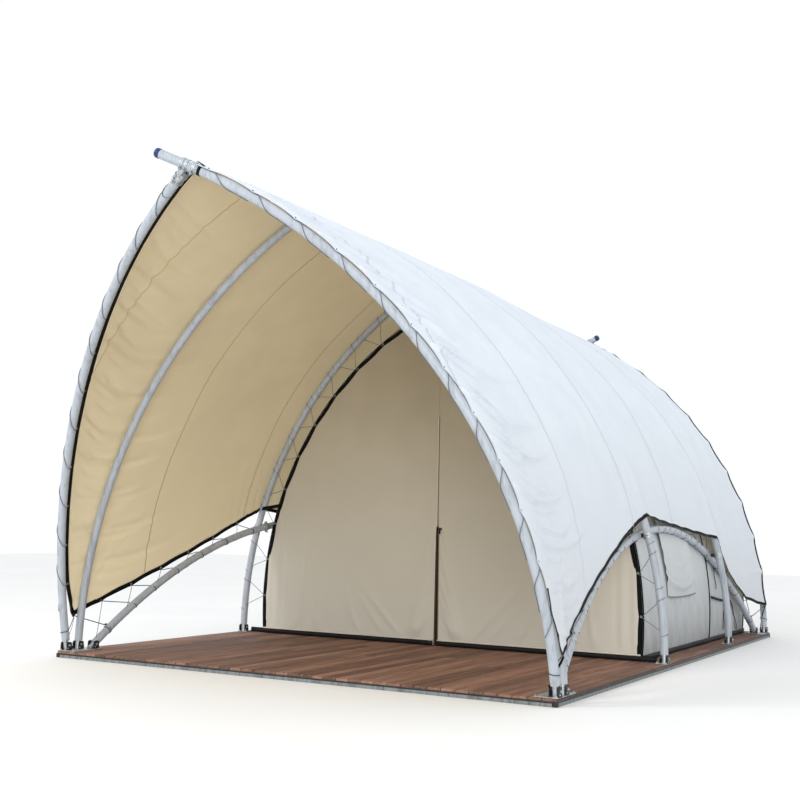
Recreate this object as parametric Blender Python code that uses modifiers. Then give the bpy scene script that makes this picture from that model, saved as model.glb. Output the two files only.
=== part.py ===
"""Sail glamping tent: arched tube frame on a deck, laced canopy and an inner room of canvas."""

import math

import bmesh
import bpy
from mathutils import Matrix, Vector

# Driving dimensions, metres. X runs across, -Y is the open front, Z is up from the deck's underside.
deck_width = 6.0
deck_length = 8.8
deck_height = 0.07
board_thickness = 0.025
rail_width = 0.05
joist_count = 9

tube_radius = 0.045
collar_radius = 0.053
spigot_radius = 0.03
spigot_sink = 0.006
gap = 0.0003
bay_gap = 0.0008

cloth = 0.004
floor_cloth = 0.006
floor_margin = 0.01

# Each arch is a bent tube on an arc. Its plane leans by the change in Y along X and up Z.
arches = {
    "front_arch": {"foot_x": 2.95, "foot_y": -4.30, "apex_y": -6.04, "apex_z": 4.80, "centre_z": 0.20,
                   "yaw": 0.25},
    "second_rib": {"foot_x": 2.95, "foot_y": -4.13, "apex_y": -4.13, "apex_z": 4.82, "centre_z": 0.0,
                   "yaw": 0.0},
    "middle_arch": {"foot_x": 2.95, "foot_y": -1.00, "apex_y": -1.00, "apex_z": 4.82, "centre_z": 0.13,
                    "yaw": 0.0},
    "rear_post_arch": {"foot_x": 2.95, "foot_y": 2.00, "apex_y": 2.00, "apex_z": 4.74, "centre_z": 0.13,
                       "yaw": 0.0},
    "rear_arch": {"foot_x": 2.95, "foot_y": 4.22, "apex_y": 4.47, "apex_z": 4.73, "centre_z": 0.0,
                  "yaw": 0.15},
}
arch_segments = 14

# The long tube of each end pair runs on past the crossing by this much.
long_tubes = {"front_arch": "right", "rear_arch": "left"}
tails = {"front_arch": 0.34, "rear_arch": 0.22}
cap_thickness = 0.02

# The low arch on each side runs from the front corner to the rear corner.
low_arch_half_span = 4.05
low_arch_crest = 1.59
low_arch_foot_x = 2.86
low_arch_lean = 0.155
low_arch_segments = 20

# Height of the canopy's lower edge above the deck's underside along the tent.
canopy_edge = [(-4.40, 0.44), (-4.13, 0.50), (-3.35, 0.79), (-2.42, 1.165), (-1.54, 1.525), (-1.00, 1.72),
               (-0.40, 1.68), (0.60, 1.60), (2.00, 1.47), (2.70, 0.95), (3.50, 0.60), (4.30, 0.46)]
edge_pull = 0.14
canopy_steps = 14
front_edge_setback = 0.10
rear_edge_setback = 0.10

# The inner room is a pointed tunnel of canvas inside the middle arches.
room_front = -0.935
room_joint = 2.05
room_back = 4.05
room_half_width = 2.66
room_apex = 4.45
room_centre_z = 0.49
room_steps = 24
zip_top = 2.95
zip_gap_top = 0.004
zip_gap_bottom = 0.03
zip_point = 0.05

window = {"low_y": 0.05, "high_y": 1.15, "low_z": 0.85, "high_z": 1.75}
window_cut = 0.6
flap_margin = 0.08
flap_low_step = 3
flap_high_step = 8
flap_cloth = 0.003

bracket_half = 0.09
bracket_depth = 0.13
ear_depth = 0.08
ear_gap = 0.042
ear_thickness = 0.008
ear_height = 0.09
bracket_base = 0.008
ear_clearance = 0.003
ear_sink = 0.002
clamp_half = 0.03

deck_top = deck_height

# A round piece has this many sides; its bore is wider, so that the flats of the bore clear the tube.
round_sides = 16
bore_radius = (tube_radius + gap) / math.cos(math.pi / round_sides)


def clear_scene():
    for item in list(bpy.data.objects):
        bpy.data.objects.remove(item, do_unlink=True)


def make_collection(name):
    collection = bpy.data.collections.new(name)
    bpy.context.scene.collection.children.link(collection)
    return collection


def make_material(name, colour, roughness, metallic=0.0):
    material = bpy.data.materials.new(name)
    material.use_nodes = True
    shader = material.node_tree.nodes["Principled BSDF"]
    shader.inputs["Base Color"].default_value = (*colour, 1.0)
    shader.inputs["Roughness"].default_value = roughness
    shader.inputs["Metallic"].default_value = metallic
    return material


clear_scene()
tent = make_collection("sail_tent")
cutters = make_collection("cutters")

white_paint = make_material("white_painted_steel", (0.72, 0.76, 0.80), 0.4)
galvanised = make_material("galvanised_steel", (0.45, 0.47, 0.48), 0.45, 0.8)
deck_wood = make_material("brown_deck_board", (0.20, 0.09, 0.06), 0.7)
canopy_cloth = make_material("white_coated_canvas", (0.76, 0.79, 0.85), 0.65)
wall_cloth = make_material("grey_beige_canvas", (0.45, 0.42, 0.36), 0.8)
floor_sheet = make_material("black_groundsheet", (0.02, 0.02, 0.02), 0.6)
cap_plastic = make_material("dark_blue_plastic", (0.01, 0.03, 0.10), 0.4)


def finish(item, material, collection=tent):
    item.data.materials.clear()
    item.data.materials.append(material)
    for other in item.users_collection:
        other.objects.unlink(item)
    collection.objects.link(item)
    return item


def mesh_object(name, mesh_data, material, collection=tent):
    mesh = bpy.data.meshes.new(name)
    mesh_data.normal_update()
    mesh_data.to_mesh(mesh)
    mesh_data.free()
    item = bpy.data.objects.new(name, mesh)
    collection.objects.link(item)
    return finish(item, material, collection)


def add_box(mesh_data, low, high):
    low = Vector(low)
    high = Vector(high)
    size = high - low
    place = Matrix.Translation((low + high) / 2) @ Matrix.Diagonal((*size, 1.0))
    bmesh.ops.create_cube(mesh_data, size=1.0, matrix=place)


def tube(name, run, material):
    """A bent bar of the arch tubes' size along a line of points."""
    data = bpy.data.curves.new(name, "CURVE")
    data.dimensions = "3D"
    data.bevel_depth = tube_radius
    data.bevel_resolution = 3
    data.use_fill_caps = True
    spline = data.splines.new("POLY")
    spline.points.add(len(run) - 1)
    for spot, place in zip(spline.points, run):
        spot.co = (*place, 1.0)
    item = bpy.data.objects.new(name, data)
    tent.objects.link(item)
    return finish(item, material)


def flat_panel(name, outline, y, thickness, material):
    """A plate with its outline in X and Z, standing across the tent at the given Y."""
    data = bpy.data.curves.new(name, "CURVE")
    data.dimensions = "2D"
    data.fill_mode = "BOTH"
    data.extrude = thickness / 2
    spline = data.splines.new("POLY")
    spline.points.add(len(outline) - 1)
    for spot, place in zip(spline.points, outline):
        spot.co = (place[0], place[1], 0.0, 1.0)
    spline.use_cyclic_u = True
    item = bpy.data.objects.new(name, data)
    item.location = (0.0, y, 0.0)
    item.rotation_euler = (math.radians(90), 0.0, 0.0)
    tent.objects.link(item)
    return finish(item, material)


def shell(name, rows, material, thickness):
    """A skin on a grid of points, thickened on its outer side."""
    skin = bmesh.new()
    grid = [[skin.verts.new(spot) for spot in row] for row in rows]
    for low_row, high_row in zip(grid, grid[1:]):
        for first, second, third, fourth in zip(low_row, low_row[1:], high_row[1:], high_row):
            skin.faces.new((first, second, third, fourth))
    item = mesh_object(name, skin, material)
    solid = item.modifiers.new("thickness", "SOLIDIFY")
    solid.thickness = thickness
    solid.offset = 1.0
    solid.use_even_offset = True
    return item


# Arcs of the arches.

class Arc:
    """One half of a pointed arch: an arc from the foot to the apex, drawn for the +X side."""

    def __init__(self, foot_x, foot_z, apex_z, centre_z, foot_y=0.0, apex_y=0.0, yaw=0.0):
        rise = apex_z - centre_z
        drop = foot_z - centre_z
        self.centre_x = (rise ** 2 - drop ** 2 - foot_x ** 2) / (2 * foot_x)
        self.centre_z = centre_z
        self.radius = math.hypot(self.centre_x, rise)
        self.apex_angle = math.atan2(rise, self.centre_x)
        self.foot_x = foot_x
        self.foot_y = foot_y
        self.foot_z = foot_z
        self.yaw = yaw
        self.lean = (apex_y - foot_y + yaw * foot_x) / (apex_z - foot_z)

    def angle_at_height(self, height, offset=0.0):
        return math.asin((height - self.centre_z) / (self.radius + offset))

    def point(self, angle, offset=0.0):
        reach = self.radius + offset
        x = reach * math.cos(angle) - self.centre_x
        z = reach * math.sin(angle) + self.centre_z
        y = self.foot_y + self.yaw * (x - self.foot_x) + self.lean * (z - self.foot_z)
        return Vector((x, y, z))

    def ridge_angle(self, offset):
        """Angle at which the arc, moved out by the offset, reaches the middle plane."""
        return math.acos(self.centre_x / (self.radius + offset))

    def direction(self, angle):
        step = 1e-4
        return (self.point(angle + step) - self.point(angle - step)).normalized()


def mirrored(points, side):
    return [Vector((spot[0] * side, spot[1], spot[2])) for spot in points]


arcs = {name: Arc(size["foot_x"], deck_top, size["apex_z"], size["centre_z"],
                  size["foot_y"], size["apex_y"], size["yaw"]) for name, size in arches.items()}

plate_top = deck_top + gap + bracket_base
ears_top = plate_top + ear_height
tube_foot = ears_top + ear_clearance
plate_outer = deck_width / 2
sides = {"left": -1, "right": 1}


def low_end_height(direction, radius, floor):
    """Height of an end's centre so that its disc just clears the floor below it."""
    return floor + gap + radius * math.sqrt(max(0.0, 1 - direction.z ** 2))


def foot_start(arc):
    """Angle where an arch tube starts, clear of its bracket's ears."""
    angle = arc.angle_at_height(ears_top)
    return arc.angle_at_height(low_end_height(arc.direction(angle), tube_radius, tube_foot))


def arch_points(arc, stop):
    start = foot_start(arc)
    return [arc.point(start + (stop - start) * step / arch_segments) for step in range(arch_segments + 1)]


def stand(start, run):
    """Where a tube's line meets the base plate half way up its ears, with the tube's end and direction."""
    middle = (plate_top + ears_top) / 2
    return start - run * ((start.z - middle) / run.z), start, run


# Straight distance that a tube's end keeps from the crossing at the apex.
hub_reach = 0.03
crossing_reach = 0.115
crossing_overlap = 0.08
hub_overlap = 0.05
socket_length = 0.12
collar_half = 0.09
bore_reach = 0.3

foot_groups = {"front": ("front_arch", "second_rib", "low_arch_front"), "middle": ("middle_arch",),
               "rear_post": ("rear_post_arch",), "rear": ("low_arch_rear", "rear_arch")}
feet = {"left": {}, "right": {}}
tube_ends = {name: {} for name in arches}


def build_arches():
    for name, arc in arcs.items():
        for label, side in sides.items():
            long_side = long_tubes.get(name)
            reach = hub_reach
            if long_side:
                reach = 0.0 if long_side == label else crossing_reach
            points = arch_points(arc, arc.apex_angle - reach / arc.radius)
            up = (points[-1] - points[-2]).normalized()
            tube_ends[name][label] = mirrored([points[-1], -up], side)
            if long_side == label:
                points[-1] += up * tails[name]
                cap = [points[-1] + up * gap, points[-1] + up * (gap + cap_thickness)]
                tube(name + "_cap", mirrored(cap, side), cap_plastic)
            feet[label][name] = stand(points[0], (points[1] - points[0]).normalized())
            tube(name + "_" + label, mirrored(points, side), white_paint)


def low_arch_points():
    half = low_arch_half_span
    rise = low_arch_crest - deck_top
    radius = (half ** 2 + rise ** 2) / (2 * rise)
    centre_z = low_arch_crest - radius
    end_direction = Vector((0.0, (deck_top - centre_z), half)).normalized()
    start_z = low_end_height(end_direction, tube_radius, tube_foot)
    start = math.asin(math.sqrt(radius ** 2 - (start_z - centre_z) ** 2) / radius)
    points = []
    for step in range(low_arch_segments + 1):
        angle = -start + 2 * start * step / low_arch_segments
        z = centre_z + radius * math.cos(angle)
        x = low_arch_foot_x - low_arch_lean * (z - deck_top)
        points.append(Vector((x, radius * math.sin(angle), z)))
    return points


def build_low_arches():
    points = low_arch_points()
    for label, side in sides.items():
        tube("low_arch_" + label, mirrored(points, side), white_paint)
        feet[label]["low_arch_front"] = stand(points[0], (points[1] - points[0]).normalized())
        feet[label]["low_arch_rear"] = stand(points[-1], (points[-2] - points[-1]).normalized())


def add_cylinder(mesh_data, start, end, radius, sides_around):
    axis = end - start
    turn = axis.to_track_quat("Z", "Y").to_matrix().to_4x4()
    place = Matrix.Translation((start + end) / 2) @ turn
    bmesh.ops.create_cone(mesh_data, cap_ends=True, segments=sides_around, radius1=radius, radius2=radius,
                          depth=axis.length, matrix=place)


def cylinder(name, start, end, radius, collection, material):
    """A straight round bar between two points."""
    bar = bmesh.new()
    add_cylinder(bar, start, end, radius, round_sides)
    return mesh_object(name, bar, material, collection)


def boolean(item, cutter, operation):
    change = item.modifiers.new(operation.lower(), "BOOLEAN")
    change.operation = operation
    change.object = cutter
    change.solver = "EXACT"
    cutter.hide_render = True
    cutter.display_type = "WIRE"


def build_feet():
    """Base plates at the corners and posts, each with a pair of ears and a spigot for every tube."""
    for label, side in sides.items():
        for group, names in foot_groups.items():
            stands = [feet[label][name] for name in names]
            low_y = min(foot.y for foot, start, run in stands) - bracket_depth / 2
            high_y = max(foot.y for foot, start, run in stands) + bracket_depth / 2
            low_x = min(foot.x for foot, start, run in stands) - bracket_half
            plate = bmesh.new()
            corners = sorted((low_x * side, plate_outer * side))
            add_box(plate, (corners[0], low_y, deck_top + gap), (corners[1], high_y, plate_top))
            body = mesh_object(group + "_foot_" + label, plate, galvanised)
            ears = bmesh.new()
            pins = bmesh.new()
            for foot, start, run in stands:
                for ear in (-1, 1):
                    middle = foot.x * side + ear * (ear_gap + ear_thickness / 2)
                    add_box(ears, (middle - ear_thickness / 2, foot.y - ear_depth / 2, plate_top - ear_sink),
                            (middle + ear_thickness / 2, foot.y + ear_depth / 2, ears_top))
                top = mirrored([start - run * gap], side)[0]
                low_z = low_end_height(run, spigot_radius, plate_top - spigot_sink)
                low = mirrored([start - run * ((start.z - low_z) / run.z)], side)[0]
                add_cylinder(pins, low, top, spigot_radius, 12)
            boolean(body, mesh_object("ears", ears, galvanised, cutters), "UNION")
            boolean(body, mesh_object("spigots", pins, galvanised, cutters), "UNION")


def build_fitting(name, bodies, bores):
    """A socket fitting: round bodies joined, and the tubes' bores cut out of them."""
    body = cylinder(name, *bodies[0], collar_radius, tent, galvanised)
    for start, end in bodies[1:]:
        boolean(body, cylinder(name + "_socket", start, end, collar_radius, cutters, galvanised), "UNION")
    for start, end in bores:
        boolean(body, cylinder(name + "_bore", start, end, bore_radius, cutters, galvanised), "DIFFERENCE")


def build_apex_fittings():
    """Each tube end is a point and the direction from it back down the tube."""
    for name, ends in tube_ends.items():
        bodies = []
        bores = []
        long_side = long_tubes.get(name)
        if long_side:
            end, down = ends[long_side]
            bodies.append((end - down * collar_half, end + down * collar_half))
            bores.append((end - down * bore_reach, end + down * bore_reach))
        for label, (end, down) in ends.items():
            if label == long_side:
                continue
            back = crossing_overlap if long_side else hub_overlap
            bodies.append((end - down * back, end + down * socket_length))
            bores.append((end - down * gap, end + down * bore_reach))
        build_fitting(name + "_apex_fitting", bodies, bores)


def build_deck():
    half_x = deck_width / 2
    half_y = deck_length / 2
    top = deck_height - board_thickness - gap
    frame = bmesh.new()
    add_box(frame, (-half_x, -half_y, 0.0), (half_x, half_y, top))
    outer = mesh_object("deck_frame", frame, galvanised)
    pockets = bmesh.new()
    pitch = (deck_length - rail_width) / (joist_count + 1)
    for number in range(joist_count + 1):
        low_y = -half_y + rail_width + pitch * number
        add_box(pockets, (-half_x + rail_width, low_y, -0.1),
                (half_x - rail_width, low_y + pitch - rail_width, 0.1))
    boolean(outer, mesh_object("joist_pockets", pockets, galvanised, cutters), "DIFFERENCE")
    boards = bmesh.new()
    add_box(boards, (-half_x, -half_y, deck_height - board_thickness), (half_x, half_y, deck_height))
    mesh_object("deck_boards", boards, deck_wood)


def edge_height(y):
    for (low_y, low_z), (high_y, high_z) in zip(canopy_edge, canopy_edge[1:]):
        if y <= high_y:
            share = max(0.0, (y - low_y) / (high_y - low_y))
            return low_z + (high_z - low_z) * share
    return canopy_edge[-1][1]


canopy_offset = collar_radius + 0.0027


def canopy_section(arc, height, setback=0.0):
    """Points of the canopy over one arch, from the lower edge to the ridge."""
    low = arc.angle_at_height(height, canopy_offset)
    high = arc.ridge_angle(canopy_offset)
    points = []
    for step in range(canopy_steps + 1):
        spot = arc.point(low + (high - low) * step / canopy_steps, canopy_offset)
        points.append(spot + Vector((0.0, setback, 0.0)))
    points[-1].x = gap / 2
    return points


def canopy_rows(first, second, first_setback, second_setback, count):
    """Rows from one arch to the next; the free edge between arches is pulled in to the low arch."""
    rows = []
    start_y = first.foot_y
    end_y = second.foot_y
    for row in range(count + 1):
        share = row / count
        height = edge_height(start_y + (end_y - start_y) * share)
        near = canopy_section(first, height, first_setback)
        far = canopy_section(second, height, second_setback)
        pull = edge_pull * math.sin(math.pi * share) ** 0.5
        points = []
        for step, (low, high) in enumerate(zip(near, far)):
            spot = low.lerp(high, share)
            fade = (1 - step / canopy_steps) ** 4
            spot.x = max(gap / 2, spot.x - pull * fade)
            points.append(spot)
        rows.append(points)
    return rows


def build_canopy():
    names = list(arcs)
    bays = [("canopy_porch", 0, [(front_edge_setback, 0.0, 1), (0.0, -bay_gap / 2, 6)]),
            ("canopy_room", 2, [(bay_gap / 2, -bay_gap / 2, 5)]),
            ("canopy_rear", 3, [(bay_gap / 2, -rear_edge_setback, 4)])]
    for name, first, spans in bays:
        rows = []
        for number, (low_setback, high_setback, count) in enumerate(spans, first):
            near = arcs[names[number]]
            far = arcs[names[number + 1]]
            span = canopy_rows(near, far, low_setback, high_setback, count)
            rows += span[1:] if rows else span
        shell(name + "_right", [row[::-1] for row in rows], canopy_cloth, cloth)
        shell(name + "_left", [mirrored(row, -1) for row in rows], canopy_cloth, cloth)


room_floor = deck_top + gap + floor_cloth
room_arc = Arc(room_half_width, room_floor, room_apex, room_centre_z)


def room_section(offset=0.0, first=0, last=room_steps):
    """Points of the room's skin from one step of its arc to another, from the floor to the ridge."""
    low = room_arc.angle_at_height(room_floor + gap)
    high = room_arc.apex_angle
    points = [room_arc.point(low + (high - low) * step / room_steps, offset)
              for step in range(first, last + 1)]
    if last == room_steps:
        points[-1].x = gap / 2
    return points


def tunnel(name, start_y, end_y, section, thickness=cloth):
    rows = [[Vector((spot.x, y, spot.z)) for spot in section] for y in (start_y, end_y)]
    right = shell(name + "_right", [row[::-1] for row in rows], wall_cloth, thickness)
    left = shell(name + "_left", [mirrored(row, -1) for row in rows], wall_cloth, thickness)
    return right, left


def build_room():
    start = room_front + cloth / 2 + gap
    end = room_back - cloth / 2 - gap
    walls = tunnel("room_skin", start, room_joint - gap / 2, room_section())
    tunnel("annex_skin", room_joint + gap / 2, end, room_section())
    for wall, side in zip(walls, (1, -1)):
        hole = bmesh.new()
        inner = side * (room_half_width - window_cut)
        outer = side * (room_half_width + window_cut)
        add_box(hole, (min(inner, outer), window["low_y"], window["low_z"]),
                (max(inner, outer), window["high_y"], window["high_z"]))
        cutter = mesh_object("window_cutter", hole, wall_cloth, cutters)
        boolean(wall, cutter, "DIFFERENCE")
    tunnel("window_flap", window["low_y"] - flap_margin, window["high_y"] + flap_margin,
           room_section(cloth + gap, flap_low_step, flap_high_step), flap_cloth)
    floor = bmesh.new()
    half = room_half_width + floor_margin
    add_box(floor, (-half, room_front - cloth / 2, deck_top + gap),
            (half, room_back + cloth / 2, room_floor))
    mesh_object("groundsheet", floor, floor_sheet)


def build_end_walls():
    foot = room_floor + gap
    edge = room_section(cloth)
    edge[0].z = foot
    outline = [(spot.x, spot.z) for spot in edge]
    for label, side in sides.items():
        half = [(zip_gap_bottom / 2, foot)] + outline[:-1] + [(gap / 2, outline[-1][1]), (gap / 2, zip_top),
                                                              (zip_gap_top / 2, zip_top - zip_point)]
        points = [(x * side, z) for x, z in half]
        flat_panel("front_wall_" + label, points, room_front, cloth, wall_cloth)
    rear = [(x, z) for x, z in outline[:-1]] + [(0.0, outline[-1][1])]
    rear += [(-x, z) for x, z in reversed(outline[:-1])]
    flat_panel("rear_wall", rear, room_back, cloth, wall_cloth)


def on_run(points, axis, value):
    """The spot on a line of points where one coordinate reaches a value, with the line's direction."""
    for first, second in zip(points, points[1:]):
        if first[axis] <= value <= second[axis]:
            share = (value - first[axis]) / (second[axis] - first[axis])
            return first.lerp(second, share), (second - first).normalized()
    raise ValueError("no spot at that value")


def clamp_spots():
    """Places where the low arch passes the middle arch and the rear post arch, for the +X side."""
    for name in ("middle_arch", "rear_post_arch"):
        arc = arcs[name]
        low, run = on_run(low_arch_points(), 1, arc.foot_y)
        post, rise = on_run(arch_points(arc, arc.apex_angle - hub_reach / arc.radius), 2, low.z)
        yield name, low, run, post, rise


def build_clamps():
    """Swivel clamps: a collar round the low arch and a collar round the post, joined by a short stem."""
    for label, side in sides.items():
        flip = Matrix.Diagonal((side, 1.0, 1.0))
        for arch_name, low, run, post, rise in clamp_spots():
            name = arch_name + "_clamp_" + label
            body = cylinder(name, flip @ (low - run * clamp_half), flip @ (low + run * clamp_half),
                            collar_radius, tent, galvanised)
            other = cylinder(name + "_post", flip @ (post - rise * clamp_half),
                             flip @ (post + rise * clamp_half), collar_radius, cutters, galvanised)
            stem = cylinder(name + "_stem", flip @ low, flip @ post, clamp_half, cutters, galvanised)
            boolean(body, other, "UNION")
            boolean(body, stem, "UNION")
            for middle, axis in ((low, run), (post, rise)):
                start = flip @ (middle - axis * bore_reach)
                end = flip @ (middle + axis * bore_reach)
                bore = cylinder(name + "_bore", start, end, bore_radius + gap, cutters, galvanised)
                boolean(body, bore, "DIFFERENCE")


build_deck()
build_arches()
build_low_arches()
build_feet()
build_apex_fittings()
build_clamps()
build_canopy()
build_room()
build_end_walls()
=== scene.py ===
import math
import random

import bmesh
import bpy
import numpy as np
from mathutils import Matrix, Vector


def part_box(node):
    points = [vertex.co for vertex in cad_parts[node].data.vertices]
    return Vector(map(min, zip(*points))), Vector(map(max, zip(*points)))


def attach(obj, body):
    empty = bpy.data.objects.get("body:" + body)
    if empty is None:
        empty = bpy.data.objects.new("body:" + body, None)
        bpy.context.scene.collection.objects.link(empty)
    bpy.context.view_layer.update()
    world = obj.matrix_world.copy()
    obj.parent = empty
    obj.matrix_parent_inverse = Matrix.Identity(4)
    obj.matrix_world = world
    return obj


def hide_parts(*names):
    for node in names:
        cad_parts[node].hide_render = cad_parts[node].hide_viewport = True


# Sail glamping tent: bent tube arches on a deck, a laced canopy and an inner room of canvas.
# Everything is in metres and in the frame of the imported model: X across, -Y the open front, Z up.

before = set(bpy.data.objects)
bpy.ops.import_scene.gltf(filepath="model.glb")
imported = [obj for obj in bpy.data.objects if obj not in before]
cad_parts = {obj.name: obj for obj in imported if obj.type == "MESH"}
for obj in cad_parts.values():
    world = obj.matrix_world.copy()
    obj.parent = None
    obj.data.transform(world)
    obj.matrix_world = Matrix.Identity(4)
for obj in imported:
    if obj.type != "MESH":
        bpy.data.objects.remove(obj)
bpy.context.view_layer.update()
bpy.ops.object.select_all(action="DESELECT")
random.seed(7)
print("frame loaded")


# camera, at the photo's own place

cameraSet = {
    "place": (6.807, -14.051, 1.515),
    "yaw": 29.425,
    "pitch": 6.404,
    "roll": 1.28,
    "lens": 51.84,
    "sensor": 36.0,
}


def placeCamera():
    yaw = math.radians(cameraSet["yaw"])
    pitch = math.radians(cameraSet["pitch"])
    roll = math.radians(cameraSet["roll"])
    ahead = Vector((-math.sin(yaw) * math.cos(pitch), math.cos(yaw) * math.cos(pitch), math.sin(pitch)))
    levelRight = Vector((math.cos(yaw), math.sin(yaw), 0.0))
    levelUp = levelRight.cross(ahead)
    right = levelRight * math.cos(roll) + levelUp * math.sin(roll)
    up = levelUp * math.cos(roll) - levelRight * math.sin(roll)
    bpy.ops.object.camera_add(location=cameraSet["place"])
    camera = bpy.context.object
    turn = Matrix((right, up, -ahead)).transposed()
    camera.rotation_euler = turn.to_euler()
    camera.data.lens = cameraSet["lens"]
    camera.data.sensor_width = cameraSet["sensor"]
    camera.data.clip_end = 200
    bpy.context.scene.camera = camera


placeCamera()


# small helpers

def linear(code):
    # sRGB hex to the linear colour that Blender's sockets take
    values = []
    for start in (1, 3, 5):
        share = int(code[start:start + 2], 16) / 255
        values.append(share / 12.92 if share <= 0.04045 else ((share + 0.055) / 1.055) ** 2.4)
    return (*values, 1.0)


def addNode(tree, kind, values=None, links=None, **settings):
    made = tree.nodes.new("ShaderNode" + kind)
    for setting, value in settings.items():
        setattr(made, setting, value)
    for socket, value in (values or {}).items():
        made.inputs[socket].default_value = value
    for socket, source in (links or {}).items():
        tree.links.new(source, made.inputs[socket])
    return made


def startMaterial(title, **values):
    material = bpy.data.materials.new(title)
    material.use_nodes = True
    tree = material.node_tree
    shader = tree.nodes["Principled BSDF"]
    for socket, value in values.items():
        shader.inputs[socket.replace("_", " ")].default_value = value
    return material, tree, shader


def ramp(tree, source, stops):
    made = addNode(tree, "ValToRGB", links={"Fac": source})
    bar = made.color_ramp
    while len(bar.elements) < len(stops):
        bar.elements.new(0.5)
    for element, (place, colour) in zip(bar.elements, stops):
        element.position = place
        element.color = colour
    return made.outputs["Color"]


def deselect():
    if bpy.context.object and bpy.context.object.mode != "OBJECT":
        bpy.ops.object.mode_set(mode="OBJECT")
    bpy.ops.object.select_all(action="DESELECT")


def choose(*items):
    deselect()
    for item in items:
        item.select_set(True)
    bpy.context.view_layer.objects.active = items[0]


def settle(item, name, *materials):
    # the place goes into the mesh, as a node's does
    item.name = name
    item.data.name = name
    choose(item)
    bpy.ops.object.transform_apply(location=True, rotation=True, scale=True)
    item.data.materials.clear()
    for material in materials:
        item.data.materials.append(material)
    return item


def join(name, items):
    choose(*items)
    if len(items) > 1:
        bpy.ops.object.join()
    joined = bpy.context.object
    joined.name = name
    joined.data.name = name
    return joined


def smooth(item, degrees=35):
    choose(item)
    bpy.ops.object.shade_smooth_by_angle(angle=math.radians(degrees))
    return item


def finishModifier(item, kind, **settings):
    change = item.modifiers.new(kind.lower(), kind)
    for setting, value in settings.items():
        setattr(change, setting, value)
    choose(item)
    bpy.ops.object.modifier_apply(modifier=change.name)


def duplicate(item, place=Matrix.Identity(4)):
    twin = bpy.data.objects.new(item.name, item.data.copy())
    twin.data.transform(place)
    if place.determinant() < 0:
        twin.data.flip_normals()
    bpy.context.scene.collection.objects.link(twin)
    return twin


def mirrorOver(item, name):
    twin = duplicate(item, Matrix.Diagonal((-1, 1, 1, 1)))
    twin.name = name
    twin.data.name = name
    return twin


def wear(item, slotName, *nodes):
    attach(item, "root")
    if nodes:
        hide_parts(*nodes)
    return item


sides = {"left": -1, "right": 1}


def aside(points, side):
    return [Vector((spot[0] * side, spot[1], spot[2])) for spot in points]


def sweep(name, points, profile, materials, ups=None, closedEnds=True, tilt=0.0):
    # one profile carried along a line of points; its UV is in metres along and round
    points = [Vector(spot) for spot in points]
    count = len(points)
    runs = []
    for number in range(count):
        before = points[max(number - 1, 0)]
        after = points[min(number + 1, count - 1)]
        runs.append((after - before).normalized())
    if ups is None:
        up = runs[0].orthogonal().normalized()
        ups = []
        for run in runs:
            up = (up - run * up.dot(run)).normalized()
            ups.append(up)
    mesh = bmesh.new()
    layer = mesh.loops.layers.uv.new("UVMap")
    rings = []
    alongs = []
    walked = 0.0
    for number, (spot, run, up) in enumerate(zip(points, runs, ups)):
        if number:
            walked += (spot - points[number - 1]).length
        alongs.append(walked)
        up = (up - run * up.dot(run)).normalized()
        across = run.cross(up)
        rings.append([mesh.verts.new(spot + across * x + up * z) for x, z in profile])
    rounds = [0.0]
    size = len(profile)
    for number in range(size):
        first = Vector(profile[number])
        rounds.append(rounds[-1] + (Vector(profile[(number + 1) % size]) - first).length)
    for number in range(count - 1):
        for place in range(size):
            after = (place + 1) % size
            corners = (rings[number][place], rings[number][after], rings[number + 1][after],
                       rings[number + 1][place])
            face = mesh.faces.new(corners)
            spots = ((alongs[number], rounds[place]), (alongs[number], rounds[place + 1]),
                     (alongs[number + 1], rounds[place + 1]), (alongs[number + 1], rounds[place]))
            for loop, spot in zip(face.loops, spots):
                loop[layer].uv = spot
    if closedEnds:
        mesh.faces.new(rings[0][::-1])
        mesh.faces.new(rings[-1])
    bmesh.ops.recalc_face_normals(mesh, faces=mesh.faces)
    data = bpy.data.meshes.new(name)
    mesh.to_mesh(data)
    mesh.free()
    item = bpy.data.objects.new(name, data)
    bpy.context.scene.collection.objects.link(item)
    for material in materials:
        data.materials.append(material)
    for polygon in data.polygons:
        polygon.use_smooth = True
    return item


def circle(radius, count):
    return [(radius * math.cos(2 * math.pi * step / count), radius * math.sin(2 * math.pi * step / count))
            for step in range(count)]


def band(width, thickness):
    half = width / 2
    edge = thickness / 2
    return [(-half, -edge), (half, -edge), (half, edge), (-half, edge)]


def evenly(points, pitch):
    # the same line with its points a given pitch apart
    points = [Vector(spot) for spot in points]
    lengths = [0.0]
    for first, second in zip(points, points[1:]):
        lengths.append(lengths[-1] + (second - first).length)
    count = max(1, round(lengths[-1] / pitch))
    result = []
    place = 0
    for step in range(count + 1):
        along = lengths[-1] * step / count
        while place < len(points) - 2 and lengths[place + 1] < along:
            place += 1
        span = lengths[place + 1] - lengths[place]
        share = (along - lengths[place]) / span if span else 0.0
        result.append(points[place].lerp(points[place + 1], min(max(share, 0.0), 1.0)))
    return result


def sagged(start, end, sag=0.0, steps=6, bow=Vector((0, 0, -1))):
    return [start.lerp(end, step / steps) + bow * (sag * 4 * (step / steps) * (1 - step / steps))
            for step in range(steps + 1)]


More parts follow.
